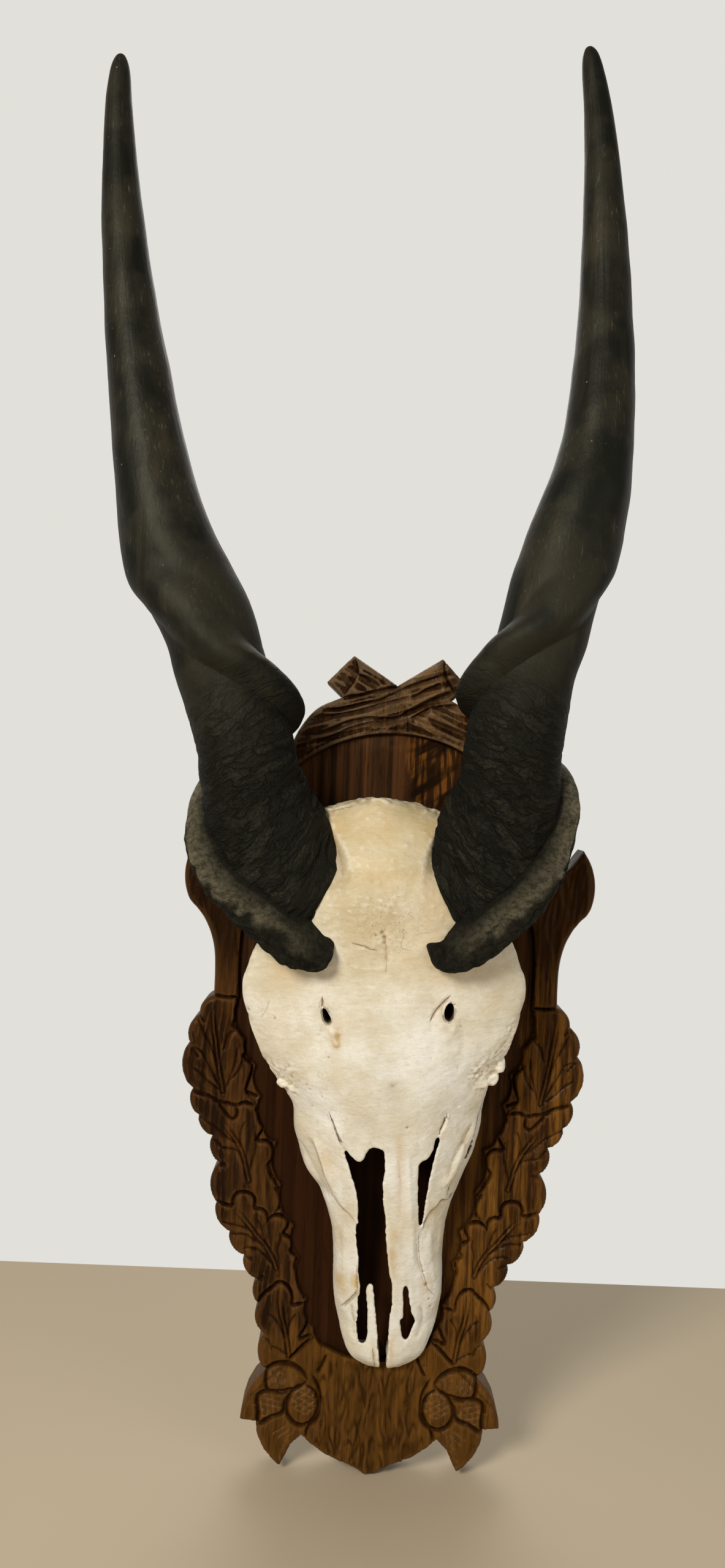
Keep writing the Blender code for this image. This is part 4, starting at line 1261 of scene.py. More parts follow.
# %% The drawing: outlines of leaves and acorns, their veins, and the arch's furrows
LEAF_EDGES = [
    [(113.4, 49.6), (121.4, 49), (131, 50.1)],
    [(114, 49.7), (112.6, 41.7), (114, 33.8), (115.4, 27), (109.3, 23.4), (104.5, 16.4),
     (104.8, 8.5), (107.2, 4), (100.7, -1.9), (100.3, -7.6), (104.8, -22.2)],
    [(94.8, -26.5), (104.9, -22.8)],
    [(96.2, -32.7), (105.2, -31), (110.9, -33.3), (117.7, -31.9), (124.5, -31.1),
     (132.3, -26.8), (144.6, -23.8)],
    [(96.2, -32.7), (95.3, -38.4), (90.9, -43.2), (90, -50), (94.9, -59.5), (85.9, -60.4),
     (82.1, -65.1), (81.8, -73), (85.5, -78.5), (78, -92.4), (74.9, -98.2),
     (75.3, -108.4), (78.9, -114)],
    [(110.9, -33.3), (110.1, -40.1), (113.6, -43.4), (121.3, -36.3), (124.5, -31.6)],
    [(84.2, -122.1), (83.2, -119.5), (79.5, -116.5), (74.1, -115.8), (68.8, -118.7),
     (68.1, -123.7), (71.1, -129.8), (65.8, -132.7), (63.7, -137.3), (65.3, -142.6),
     (61, -147.2), (62.2, -154.3), (59.7, -160.7), (57.2, -165.3), (57.9, -170.6),
     (54.9, -175.2), (54.2, -179.7)],
    [(84.1, -120.4), (84.8, -115), (88.3, -111.7), (94.1, -111), (94.3, -104.7),
     (96.8, -100.2), (102.1, -98.6), (107.5, -99.8), (110.4, -104.1), (111, -109.5),
     (116.8, -108.8), (122.6, -106.8)],
    [(75.8, -112.6), (74.6, -105.5), (76.2, -99.2), (79.5, -93.7)],
    [(52.9, -182), (57, -182.7), (61.9, -183.9), (62.6, -177.6), (64.6, -172.2),
     (68.9, -168), (74.3, -167.3), (77.6, -170.8), (82.7, -175), (86.4, -179.4),
     (88.9, -185.1)],
    [(52.9, -182), (52.8, -189.6), (50.3, -195.1), (52.3, -202.2), (55.2, -207.4),
     (54.4, -210.2), (50.8, -208.5), (43.6, -207)],
    [(47.3, -209.5), (51, -213), (56.6, -219), (63.1, -225.9)],
    [(50.9, -235.2), (55.3, -231.6), (62.3, -228.2), (69.4, -227.5), (74.9, -229.1),
     (80.4, -232)],
    [(34.3, -220.8), (37.2, -227.8), (41.1, -234.9)],
    [(44.7, -237.1), (39.4, -248.7), (38.4, -260.2), (40.2, -269.5), (46.9, -276.4),
     (48.6, -284)],
]
MIDRIBS = [
    [(121.3, -23.3), (123.7, -10.1), (126.6, 2.5), (127.9, 12.7), (130.1, 28.7), (131.4, 44)],
    [(99, -90), (103.5, -74.4), (107.6, -64.1), (113, -55.9), (121.6, -44.2)],
    [(75.7, -156.5), (78.9, -148.3), (84, -140.1), (90.9, -132.6), (97.7, -124.3),
     (105.4, -115.1), (110.7, -111.7)],
    [(63, -223.3), (65.2, -209.7), (67.5, -199.8), (69.8, -190.8), (71.2, -180),
     (71.8, -172.8)],
]
VEINS = [
    [(142.9, 36), (136.9, 29)], [(147.3, 9.5), (140.2, 1.9)], [(139.1, -43), (131.9, -46.1)],
    [(127.8, -59), (121.2, -64.7)], [(122.9, -79.4), (116.1, -78.5)],
    [(111.9, -131.8), (105.1, -131.2)], [(99.5, -148.4), (93.3, -150.4)],
    [(89.5, -166.7), (84.8, -161.5)], [(83.1, -209.1), (77.9, -214.6), (77.2, -219.1)],
    [(119.6, -22.2), (115.7, -10.4), (113, 0.8), (112, 12.1)],
    [(117.1, -14.9), (109.9, -6.1), (107.3, 2.9)],
    [(123, -21.5), (128.3, -12.2), (134.7, -0.6), (138.9, 6.4), (145.6, 10)],
    [(124.6, -5.5), (130.9, 9.5), (137.2, 21), (143.5, 34.9)],
    [(123, -22.6), (131.9, -16.6), (139.5, -9.5), (146.2, -4.7)],
    [(99.3, -83.7), (96.6, -72.4), (95.1, -63.4), (95.8, -52)],
    [(106.5, -66.4), (107.3, -57.3), (105.9, -49.4), (103.4, -43.8)],
    [(102.5, -79), (107.8, -68.6), (117.9, -65.9), (122.4, -64.6)],
    [(107.5, -62.9), (116.4, -58.1), (125.2, -50.9), (136.3, -43.7)],
    [(74.7, -155.6), (74.4, -147.6), (75.1, -141.3), (73, -134.2), (73.7, -127.9)],
    [(84, -140.1), (86.3, -131), (89.6, -122.8), (92.1, -119.1)],
    [(77.4, -153.7), (83.4, -148.1), (88.6, -143.5), (97.5, -141.3), (102, -143)],
    [(84, -140.1), (92.8, -135.2), (101.6, -131.3), (111.4, -131.8)],
    [(92.6, -129.9), (101.4, -126), (111.1, -123.8), (119.1, -121.7)],
    [(63.8, -208), (63.9, -199.9), (61, -193.8), (58.1, -189.4)],
    [(65.2, -210.6), (70.2, -201.5), (75.4, -195), (80.6, -190.3)],
    [(63.9, -222.3), (69.1, -219.4), (74.4, -216.6), (79.8, -216.3)],
    [(112.7, 25.6), (119, 20), (122.5, 8)],
]
ACORN_BODIES = [
    [(48.8, -241.6), (49.8, -238.3), (53.9, -233.8), (59.5, -230.8), (65.9, -229.4),
     (72.3, -229.6), (77.4, -231.5), (80.5, -236.4), (80.1, -244.3), (78.2, -250.1),
     (71.7, -251.1), (66.7, -250.9), (61.6, -249.3), (57.3, -248.8), (51.4, -244.7)],
    [(59.5, -250.8), (66, -252), (79.6, -250.8), (85.5, -254.1), (86.4, -260.5),
     (85.2, -265.6), (84.8, -275.3), (75.3, -270.3), (65.9, -266.3), (64.1, -258.5)],
    [(50, -244.7), (43.7, -249.3), (40.1, -257.3), (40.8, -265.9), (45.3, -272.9),
     (51.9, -275.1), (58.3, -273.1), (63, -266.5), (63, -257.9), (59.5, -250.8),
     (54.3, -246)],
]
# Strokes below the acorns
LOOSE_STROKES = [
    [(60.6, -277.3), (70.9, -285.5)], [(64.1, -275), (74.4, -282.5)],
    [(85.1, -263.5), (90, -260.4)],
    [(58.4, -278.1), (64.6, -287.9), (67.8, -298.5), (67.4, -305)],
]
# For each acorn: the part's middle and radii, and the angles and gaps of its scratches
HATCHING = [
    ((73.5, -240.5), (5.5, 8), (75, 108), 3.4), ((61, -240), (6, 6.5), (84,), 4.5),
    ((76, -262), (8.5, 8.5), (12, 88), 4.4), ((50.5, -256), (8.5, 7.5), (28, -35), 4.2),
]
ARCH_CUTS = [
    [(-41.6, 282.2), (-30.3, 283.3), (-13, 288.4), (2, 291.8)],
    [(-60, 272.1), (-45, 272.7), (-25.1, 277.9), (-12.7, 280.8), (0.8, 288.3), (18.1, 295.2),
     (35.4, 301.5)],
    [(9.8, 283.6), (14.8, 285), (22.1, 289.7), (33.2, 294.5)],
    [(-63, 252.6), (-49.4, 257.5), (-37.1, 263), (-27.1, 265.9), (-18.4, 266.8), (0.4, 267.5),
     (10.2, 273.6), (24.9, 281.7), (40.9, 289.8)],
    [(-57.3, 267.2), (-43.6, 269), (-27.4, 272.8), (-12.6, 277.7), (-0.2, 281.3), (9.8, 283.6)],
    [(-61.6, 247.6), (-46.7, 252.6), (-36.9, 258), (-18.3, 263.7), (0.4, 265.7)],
    [(10.4, 267.3), (25.2, 275.4), (48.8, 279.4)], [(24.2, 267.8), (36.9, 263.3), (54.7, 256.5)],
    [(-53.3, 293.1), (-41.6, 282.2)], [(-30.9, 299.6), (-19.5, 295.6), (-13.1, 290.9)],
    [(-33.3, 312.7), (-31, 300.2), (-41.6, 282.2)], [(35, 312.1), (36.7, 300.9), (42.8, 289.9)],
]


def both_sides(lines):
    """Smooth lines on the right, and on the left a little off their mirrored places."""
    right = [flow(line, 2.2) for line in lines]
    left = []
    for points in right:
        flat = np.column_stack([points, np.zeros(len(points))])
        shift = np.column_stack([lumps(flat, (40, 40, 40), 3), lumps(flat, (40, 40, 40), 4)])
        left.append((points + shift) * (-1, 1))
    return right + left


def closed(loop):
    return loop + loop[:1]


def leaf_loop(top, bottom, *inner):
    """A leaf's closed outline from its drawn edges; its open outer side passes the board's."""
    loop = list(top) + [(165.0, top[-1][1]), (165.0, bottom[-1][1])] + bottom[::-1]
    for edge in inner:
        loop += edge[::-1]
    return loop


def hatched(middle, radii, angles, gap):
    """Short parallel strokes at each angle across an oval."""
    lines = []
    for angle in np.radians(angles):
        step = np.array([math.cos(angle), math.sin(angle)])
        across = np.array([-step[1], step[0]])
        half = abs(across) @ radii
        for offset in np.arange(-half + gap / 2, half, gap):
            reach = 0.9 * (abs(step) @ radii) * math.sqrt(max(1 - (offset / half) ** 2, 0.05))
            centre = np.array(middle) + across * offset
            lines.append([tuple(centre - step * reach), tuple(centre + step * reach)])
    return lines


leaves = both_sides([
    leaf_loop(LEAF_EDGES[0], LEAF_EDGES[3], LEAF_EDGES[1]),
    leaf_loop(LEAF_EDGES[3], LEAF_EDGES[7], LEAF_EDGES[4]),
    leaf_loop(LEAF_EDGES[7], LEAF_EDGES[9], LEAF_EDGES[6]),
    leaf_loop(LEAF_EDGES[9], LEAF_EDGES[12], LEAF_EDGES[11], LEAF_EDGES[10]),
])
edge_cuts = both_sides(LEAF_EDGES)
acorn_rings = both_sides([closed(body) for body in ACORN_BODIES])
rib_cuts = both_sides(MIDRIBS)
vein_cuts = both_sides(VEINS)
scratches = both_sides(LOOSE_STROKES + [line for row in HATCHING for line in hatched(*row)])
arch_cuts = [flow(line, 2.2) for line in ARCH_CUTS]
# Each set: lines, half width and depth of the V-shaped cut
CUTS = [
    (edge_cuts, 1.8, 1.7), (acorn_rings, 2.5, 2.0), (vein_cuts, 1.3, 0.8), (scratches, 0.9, 0.6),
]
print("cuts:", sum(len(lines) for lines, _, _ in CUTS) + len(rib_cuts) + len(arch_cuts))

# %% [markdown]
# ## The carved surface
#
# A carving is a height over every point of the board, so we scatter points over the
# outline, connect them with triangles and lift each to its height. Rows of points run
# along every cut, which keeps the bottom and the rims of the cuts crisp without a very
# fine mesh everywhere. The smooth panel needs few points.

# %% Points of the carved surface
ROW_STEP = 1.1             # spacing of the points in a row along a cut


def lattice(step):
    """Points at the corners of even triangles, over the board's whole rectangle."""
    columns = np.arange(-160.0, 160.0, step)
    rows = np.arange(-314.0, 316.0, step * 0.866)
    x, z = np.meshgrid(columns, rows)
    x = x + (np.arange(len(rows)) % 2 * step / 2)[:, None]
    return np.column_stack([x.ravel(), z.ravel()])


def rows_along(line, offsets):
    """Points in rows beside a line, at the given offsets."""
    points = flow(line, ROW_STEP)
    along = np.gradient(points, axis=0)
    along /= np.maximum(np.hypot(*along.T), 1e-6)[:, None]
    across = np.column_stack([-along[:, 1], along[:, 0]])
    return np.concatenate([points + across * offset for offset in offsets])


def spaced(points, gap):
    """Drops points that crowd an earlier one, with two shifted grids."""
    for shift in (0.0, 0.5):
        cells = np.floor(points / gap + shift).astype(np.int64)
        _, first = np.unique(cells, axis=0, return_index=True)
        points = points[np.sort(first)]
    return points


def tree_of(loop):
    """A search tree of points on a closed loop, which finds the distance to it quickly."""
    points = evenly([tuple(point) for point in loop], 0.5)
    tree = KDTree(len(points))
    for index, (x, z) in enumerate(points):
        tree.insert((x, z, 0.0), index)
    tree.balance()
    return tree


def distance_to(tree, points):
    return np.array([tree.find((x, z, 0.0))[2] for x, z in points])


POINT_GAP = 0.58           # closest that two points may lie
RIM_GAP = 0.55             # closest that a point may lie to the outline's own points
fine_outline = evenly(outline, 1.15)
outline_tree, panel_tree = tree_of(outline), tree_of(panel)
row_sets = [(lines, (-0.5 * width, 0.5 * width, -width, width)) for lines, width, _ in CUTS]
row_sets += [(rib_cuts, (-1.6, 1.6, -0.8, 0.8)), (arch_cuts, (1.6, 0.8, -0.9, -1.8))]
rows = [rows_along(line, (0.0,)) for lines, _ in row_sets for line in lines]
rows += [rows_along(line, offsets) for lines, offsets in row_sets for line in lines]
carved = np.concatenate(rows + [lattice(BOARD_GRID)])
carved = carved[~inside(carved[:, 0], carved[:, 1], panel)]
carved = carved[distance_to(panel_tree, carved) > 0.5]
panel_rows = rows_along(closed(panel), (0.0, -0.6, -1.2, -1.8, -3.0))
coarse = lattice(PANEL_GRID)
coarse = coarse[inside(coarse[:, 0], coarse[:, 1], panel)]
coarse = coarse[distance_to(panel_tree, coarse) > 4.0]
candidates = spaced(np.concatenate([panel_rows, carved, coarse]), POINT_GAP)
candidates = candidates[inside(candidates[:, 0], candidates[:, 1], outline)]
candidates = candidates[distance_to(outline_tree, candidates) > RIM_GAP]
print("points on the board's face:", len(candidates))

# %% Heights of the arch, the leaves and the foot
DOT_STEP = 2.2             # degrees between two punched dots
WORN_CORNER = 3.4
HIGHEST_CARVING = 33.0
# The crossed logs' faces, and how much each stands higher than the arch
LOGS = [
    ([(-53.3, 293.1), (-33.3, 312.7), (-31, 300.2), (-41.6, 282.2)], -1.2),
    ([(35, 312.1), (39.9, 316), (54, 293), (42.8, 289.9), (36.7, 300.9)], -1),
    ([(-31, 300.2), (-33.3, 312.7), (2, 292.5), (-13, 287.5), (-41.6, 282.2)], 0.9),
    ([(2, 291.4), (35, 313), (36.7, 300.9), (42.8, 289.9), (40.9, 288), (10, 272), (0, 280)], 1.5),
]


def log_height(x, z):
    """The crossed logs' cut ends lie lower and their long sides higher."""
    rise = np.zeros(len(x))
    for loop, height in LOGS:
        away, _, _ = line_distance(x, z, closed(loop))
        rise += height * smoothstep(away / 1.8) * inside(x, z, loop)
    return rise


def chip_depth(x, z):
    """The arch's chip cuts: steep above each line, a long slope below it."""
    deepest = np.zeros(len(x))
    for line in arch_cuts:
        near, away, along, side = near_line(x, z, line, 7.0)
        ends = between_ends(along, 0.12) ** 0.5
        slope = np.where(side > 0, away / 1.6, away / 6.0)
        deepest[near] = np.maximum(deepest[near], ends * np.clip(1 - slope, 0, 1))
    return deepest


def scoops(x, z):
    """Long hollows of a flat gouge on the arch, with sharp ridges between them."""
    left_log = (x < 2) & (z > 291.3 + 0.22 * x)
    lower_right = (x > 8) & (z < 263 + 0.5 * x)
    tilt = np.radians(np.where(left_log, -33.0, np.where(lower_right, -25.0, 16.0)))
    along = (x * np.cos(tilt) + z * np.sin(tilt)) / 30.0
    across = (z * np.cos(tilt) - x * np.sin(tilt)) / 4.6
    home = np.floor(np.column_stack([along, across, 0 * x])).astype(np.int64)
    lowest, tone = np.full(len(x), 9.0), np.zeros(len(x))
    for step in itertools.product((-1, 0, 1), repeat=2):
        cell = home + (*step, 0)
        off_along = along - cell[:, 0] - 0.5 - 0.4 * hashed(cell, 1)
        off_across = across - cell[:, 1] - 0.5 - 0.4 * hashed(cell, 2)
        tilted = (0.45 * hashed(cell, 3) + 0.25) * off_across + 0.2 * hashed(cell, 4)
        depth = off_along**2 + off_across**2 + tilted
        # a random tone for each hollow, for painted light and shade of the facets
        tone = np.where(depth < lowest, hashed(cell, 5), tone)
        lowest = np.minimum(lowest, depth)
    return lowest, tone


def leaf_lift(x, z):
    """Leaves lie above the strip beside them, and each rises towards its tip."""
    flank = (z < 50) & (z > -207 - np.maximum(abs(x) - 43, 0)) & (abs(x) > 40)
    lift = np.where(flank, -1.9, 0.0)
    for loop in leaves:
        within = inside(x, z, [tuple(point) for point in loop])
        low, high = loop[:, 1].min(), loop[:, 1].max()
        lift[within] = 1.4 * (z[within] - low) / (high - low) - 0.6
    return lift


def gouge_marks(x, z, flat):
    """Hollows left by a gouge along the grain; at the foot narrow furrows instead, which get
    painted shade.
    """
    sway = 2.5 * lumps(flat, (22, 34, 1), 5)
    wavy = np.column_stack([x + sway, z, np.zeros(len(x))])
    hollow = np.clip(np.abs(lumps(wavy, (5.2, 30, 1), 6)) * 2.4, 0, 1)
    foot = smoothstep((-222 - z) / 6) * smoothstep((46 - abs(x)) / 6)
    plates = lumps(wavy, (4.6, 17, 1), 16)
    furrow = smoothstep(1.0 - abs(plates) * 2.7) * np.clip(0.7 + lumps(flat, (8, 14, 1), 17), 0, 1)
    bark = 1.2 * furrow - 1.3 * plates
    return 0.55 * hollow * (1 - foot) + bark * foot, furrow * foot


# %% Heights of the cuts, and all together
def near_cuts(x, z, nearest):
    """The distance to the nearest drawn outline, or the given one where that is less."""
    for line in edge_cuts + acorn_rings:
        near, away, _, _ = near_line(x, z, line, 7.0)
        nearest[near] = np.minimum(nearest[near], away)
    return nearest


def add_veins(height, deep, x, z):
    """Wide soft hollows that fan out along the veins, and raised midribs between two cuts."""
    hollow = np.zeros(len(x))
    for line in vein_cuts:
        hollow = np.maximum(hollow, stroke(x, z, line, 4.4, 0.3))
    height -= 1.0 * smoothstep(hollow)
    for line in rib_cuts:
        near, away, along, _ = near_line(x, z, line, 4.0)
        fade = np.clip((1 - along) / 0.3, 0, 1)
        groove = fade * np.exp(-(((away - 1.6) / 0.8) ** 2))
        height[near] += fade * 0.5 * np.exp(-((away / 1.2) ** 2)) - 1.2 * groove
        deep[near] = np.maximum(deep[near], 0.8 * groove)


def add_cuts(height, deep, x, z):
    """The drawn cuts, of which the deeper one counts where two meet, and the arch's chips."""
    depth = np.zeros(len(x))
    for lines, width, full in CUTS:
        for line in lines:
            mark = stroke(x, z, line, width, 0.12)
            depth = np.maximum(depth, full * mark)
            if lines is not scratches:
                np.maximum(deep, np.minimum(mark * full / 1.4, 1), out=deep)
    chips = chip_depth(x, z)
    height -= depth + 2.6 * chips
    np.maximum(deep, np.clip(chips * 1.6 - 0.6, 0, 1), out=deep)


def add_dots(height, deep, x, z):
    """A line of punched dots in a shallow groove, just above the panel's arched edge."""
    reach = ARCH_RADIUS + 3.2
    band = np.hypot(x, z - arch_centre) - reach
    height -= 0.5 * np.exp(-((band / 0.9) ** 2)) * (abs(x) < 68) * (z > arch_centre)
    for turn in np.radians(np.arange(-35.0, 36.0, DOT_STEP)):
        punch = reach * math.sin(turn), arch_centre + reach * math.cos(turn)
        near = np.where((abs(x - punch[0]) < 2) & (abs(z - punch[1]) < 2))[0]
        mark = blob(x[near], z[near], punch, (0.9, 0.9))
        height[near] -= 0.5 * mark
        deep[near] = np.maximum(deep[near], 0.8 * mark)


def carved_height(points):
    """Height above the flat back, and for each point how far it is in a cut, wall or furrow."""
    x, z = points.T
    rim = distance_to(outline_tree, points)
    from_edge = distance_to(panel_tree, points)
    in_panel = inside(x, z, panel)
    flat = np.column_stack([x, z, np.zeros(len(x))])
    # Surfaces turn down a little at the leaves' edges
    nearest = near_cuts(x, z, np.minimum(rim, np.where(in_panel, 0.0, from_edge + 1.5)))
    height = BORDER - 0.6 + 1.5 * (1 - np.exp(-nearest / 2.4))
    top = smoothstep((z - 236) / 14)
    height += 0.9 * smoothstep((z - 200) / 30) * (1 - top) + log_height(x, z) + leaf_lift(x, z)
    marks, furrow = gouge_marks(x, z, flat)
    height -= marks * (1 - 0.8 * top)
    scoop, facet = scoops(x, z)
    height += 3.0 * top * (scoop - 0.2)
    height += 0.45 * lumps(flat, (13, 17, 1), 7) + 0.14 * rough_lumps(flat, (3.5, 5, 1), 8, 2)
    deep = np.zeros(len(x))
    add_veins(height, deep, x, z)
    add_cuts(height, deep, x, z)
    add_dots(height, deep, x, z)
    # The recessed panel, and the worn outer corner
    ground = GROUND + 0.10 * lumps(flat, (9, 60, 1), 9)
    wall = smoothstep(from_edge / 1.7) * in_panel
    height = height * (1 - wall) + ground * wall
    # the foot of the panel's wall gets painted shade
    deep = np.where(in_panel, np.exp(-((from_edge - 1.4) / 1.2) ** 2), deep)
    corner = np.clip(1 - rim / 4.0, 0, 1)
    height -= WORN_CORNER * (1 - np.sqrt(np.maximum(1 - corner**2, 0)))
    scratch = np.max([stroke(x, z, line, 1.0, 0.12) for line in scratches], axis=0)
    return np.minimum(height, HIGHEST_CARVING), {
        "deep": np.clip(deep, 0, 1), "panel": wall, "furrow": furrow, "scratch": scratch,
        "facet": facet * top,
    }


# %% The board's mesh: carved face, sawn edge, flat back
WALL_LEVELS = [0.86, 0.5, 0.14]    # rows of points on the sawn edge, as shares of its height


def build_board(name, finish):
    rim_count = len(fine_outline)
    flat_points = [tuple(point) for point in fine_outline] + candidates.tolist()
    edges = [(i, (i + 1) % rim_count) for i in range(rim_count)]
    spots, _, faces, sources, _, _ = delaunay_2d_cdt(
        [Vector(point) for point in flat_points], edges, [], 1, 1e-6)
    spots = np.array([tuple(spot) for spot in spots])
    height, numbers = carved_height(spots)
    vertices = [place(spots[:, 0], spots[:, 1], height)]
    order = {source[0]: index for index, source in enumerate(sources) if source}
    rim = [order[index] for index in range(rim_count)]
    faces = [tuple(face) for face in faces]
    above = rim
    total = len(spots)
    for level in WALL_LEVELS + [0.0]:
        front = height[rim] * level
        below = list(range(total, total + rim_count))
        vertices.append(place(spots[rim, 0], spots[rim, 1], front))
        for index in range(rim_count):
            after = (index + 1) % rim_count
            faces.append((above[index], above[after], below[after], below[index]))
        total += rim_count
        above = below
    _, _, back_faces, back_sources, _, _ = delaunay_2d_cdt(
        [Vector(tuple(spots[i])) for i in rim], edges, [], 1, 1e-6)
    back = {index: above[source[0]] for index, source in enumerate(back_sources)}
    faces.extend(tuple(back[corner] for corner in reversed(face)) for face in back_faces)
    made = add_mesh(name, np.concatenate(vertices), faces)
    edge = np.zeros(rim_count * (len(WALL_LEVELS) + 1))
    for label, values in numbers.items():
        store(made.data, label, np.concatenate([values, edge]))
    ridges = relief(made.data, 5)
    ridges[len(spots):] = 0
    store(made.data, "relief", ridges)
    made.data.shade_smooth()
    made.data.set_sharp_from_angle(angle=math.radians(40))
    made.data.materials.append(finish)
    return made


oak = bpy.data.materials.new("stained oak")
board = build_board("board", oak)
print("board:", len(board.data.polygons), "faces")

# %% [markdown]
# ## Materials
#
# Each material starts from what the thing is. Bone is pale and slightly waxy, stained
# yellow where it was thick with fat. Horn is nearly black, matt in its folds and
# polished on top. Oak is stained dark brown and lacquered, so its grain shows as long
# streaks and its edges shine. Some marks paint shade into hollows, creases and cuts, and
# highlights onto ridges. Object coordinates are in metres, hence large scales.

# %% Small helpers for materials
class Value:
    """A node's output that can be added, subtracted and multiplied like a number."""

    def __init__(self, graph, socket):
        self.graph = graph
        self.socket = socket

    def __add__(self, other):
        return self.graph.math("ADD", self, other)

    def __mul__(self, other):
        return self.graph.math("MULTIPLY", self, other)

    def __sub__(self, other):
        return self.graph.math("SUBTRACT", self, other)

    def __rsub__(self, other):
        return self.graph.math("SUBTRACT", other, self)

    def __abs__(self):
        return self.graph.math("ABSOLUTE", self)

    __radd__ = __add__
    __rmul__ = __mul__


class Graph:
    """Adds nodes to a material and links them in one go."""

    def __init__(self, finish):
        finish.use_nodes = True
        self.tree = finish.node_tree
        self.place = Value(self, self.add("ShaderNodeTexCoord").outputs["Object"])

    def add(self, kind, **settings):
        node = self.tree.nodes.new(kind)
        for key, value in settings.items():
            setattr(node, key, value)
        return node

    def feed(self, socket, value):
        if isinstance(value, Value):
            self.tree.links.new(value.socket, socket)
        else:
            socket.default_value = value

    def surface(self, values):
        """Sets or links the shader's inputs by their names."""
        shader = self.tree.nodes["Principled BSDF"]
        for name, value in values.items():
            self.feed(shader.inputs[name], value)

    def axes(self, at=None):
        """A vector's x, y and z; without one, the point's own in metres."""
        node = self.add("ShaderNodeSeparateXYZ")
        self.feed(node.inputs[0], at or self.place)
        return [Value(self, socket) for socket in node.outputs]

    def number(self, name):
        """A number that the mesh stores at its vertices."""
        return Value(self, self.add("ShaderNodeAttribute", attribute_name=name).outputs["Fac"])

    def vector(self, name):
        return Value(self, self.add("ShaderNodeAttribute", attribute_name=name).outputs["Vector"])

    def math(self, operation, first, second=0.0, clamp=False):
        node = self.add("ShaderNodeMath", operation=operation, use_clamp=clamp)
        self.feed(node.inputs[0], first)
        self.feed(node.inputs[1], second)
        return Value(self, node.outputs[0])

    def mix(self, share, first, second):
        node = self.add("ShaderNodeMix", data_type="RGBA")
        self.feed(node.inputs[0], share)
        self.feed(node.inputs[6], first)
        self.feed(node.inputs[7], second)
        return Value(self, node.outputs[2])

    def tint(self, tone, share, strength, red, green, blue):
        """The tone turned towards a colour where the share is high."""
        return self.mix(share * strength, tone, colour(red, green, blue))

    def noise(self, scale, stretch=(1, 1, 1), detail=4.0, rough=0.55, swirl=0.0, turn=(0, 0, 0),
              at=None):
        """Noise in object space; a large stretch makes it change faster that way."""
        shift = self.add("ShaderNodeMapping", vector_type="TEXTURE")
        shift.inputs["Scale"].default_value = tuple(1 / value for value in stretch)
        shift.inputs["Rotation"].default_value = turn
        self.feed(shift.inputs["Vector"], at or self.place)
        node = self.add("ShaderNodeTexNoise")
        node.inputs["Scale"].default_value = scale
        node.inputs["Detail"].default_value = detail
        node.inputs["Roughness"].default_value = rough
        node.inputs["Distortion"].default_value = swirl
        self.feed(node.inputs["Vector"], Value(self, shift.outputs[0]))
        return Value(self, node.outputs[0])

    def ramp(self, value, low, high):
        """0 below low, 1 above high."""
        node = self.add("ShaderNodeMapRange", interpolation_type="SMOOTHSTEP")
        self.feed(node.inputs[0], value)
        node.inputs[1].default_value = low
        node.inputs[2].default_value = high
        return Value(self, node.outputs[0])

    def thin_lines(self, noise, width):
        """Lines wherever a noise passes its middle value."""
        return self.ramp(abs(noise - 0.5), width, 0.0)

    def bump(self, height, strength, distance, below=None):
        node = self.add("ShaderNodeBump")
        node.inputs["Strength"].default_value = strength
        node.inputs["Distance"].default_value = distance
        self.feed(node.inputs["Height"], height)
        if below is not None:
            self.feed(node.inputs["Normal"], below)
        return Value(self, node.outputs[0])


def colour(red, green, blue):
    """A colour as it looks on a screen, 0 to 255, turned into Blender's linear values."""
    return tuple(
        (value / 255 / 12.92 if value <= 10 else ((value / 255 + 0.055) / 1.055) ** 2.4)
        for value in (red, green, blue)
    ) + (1.0,)


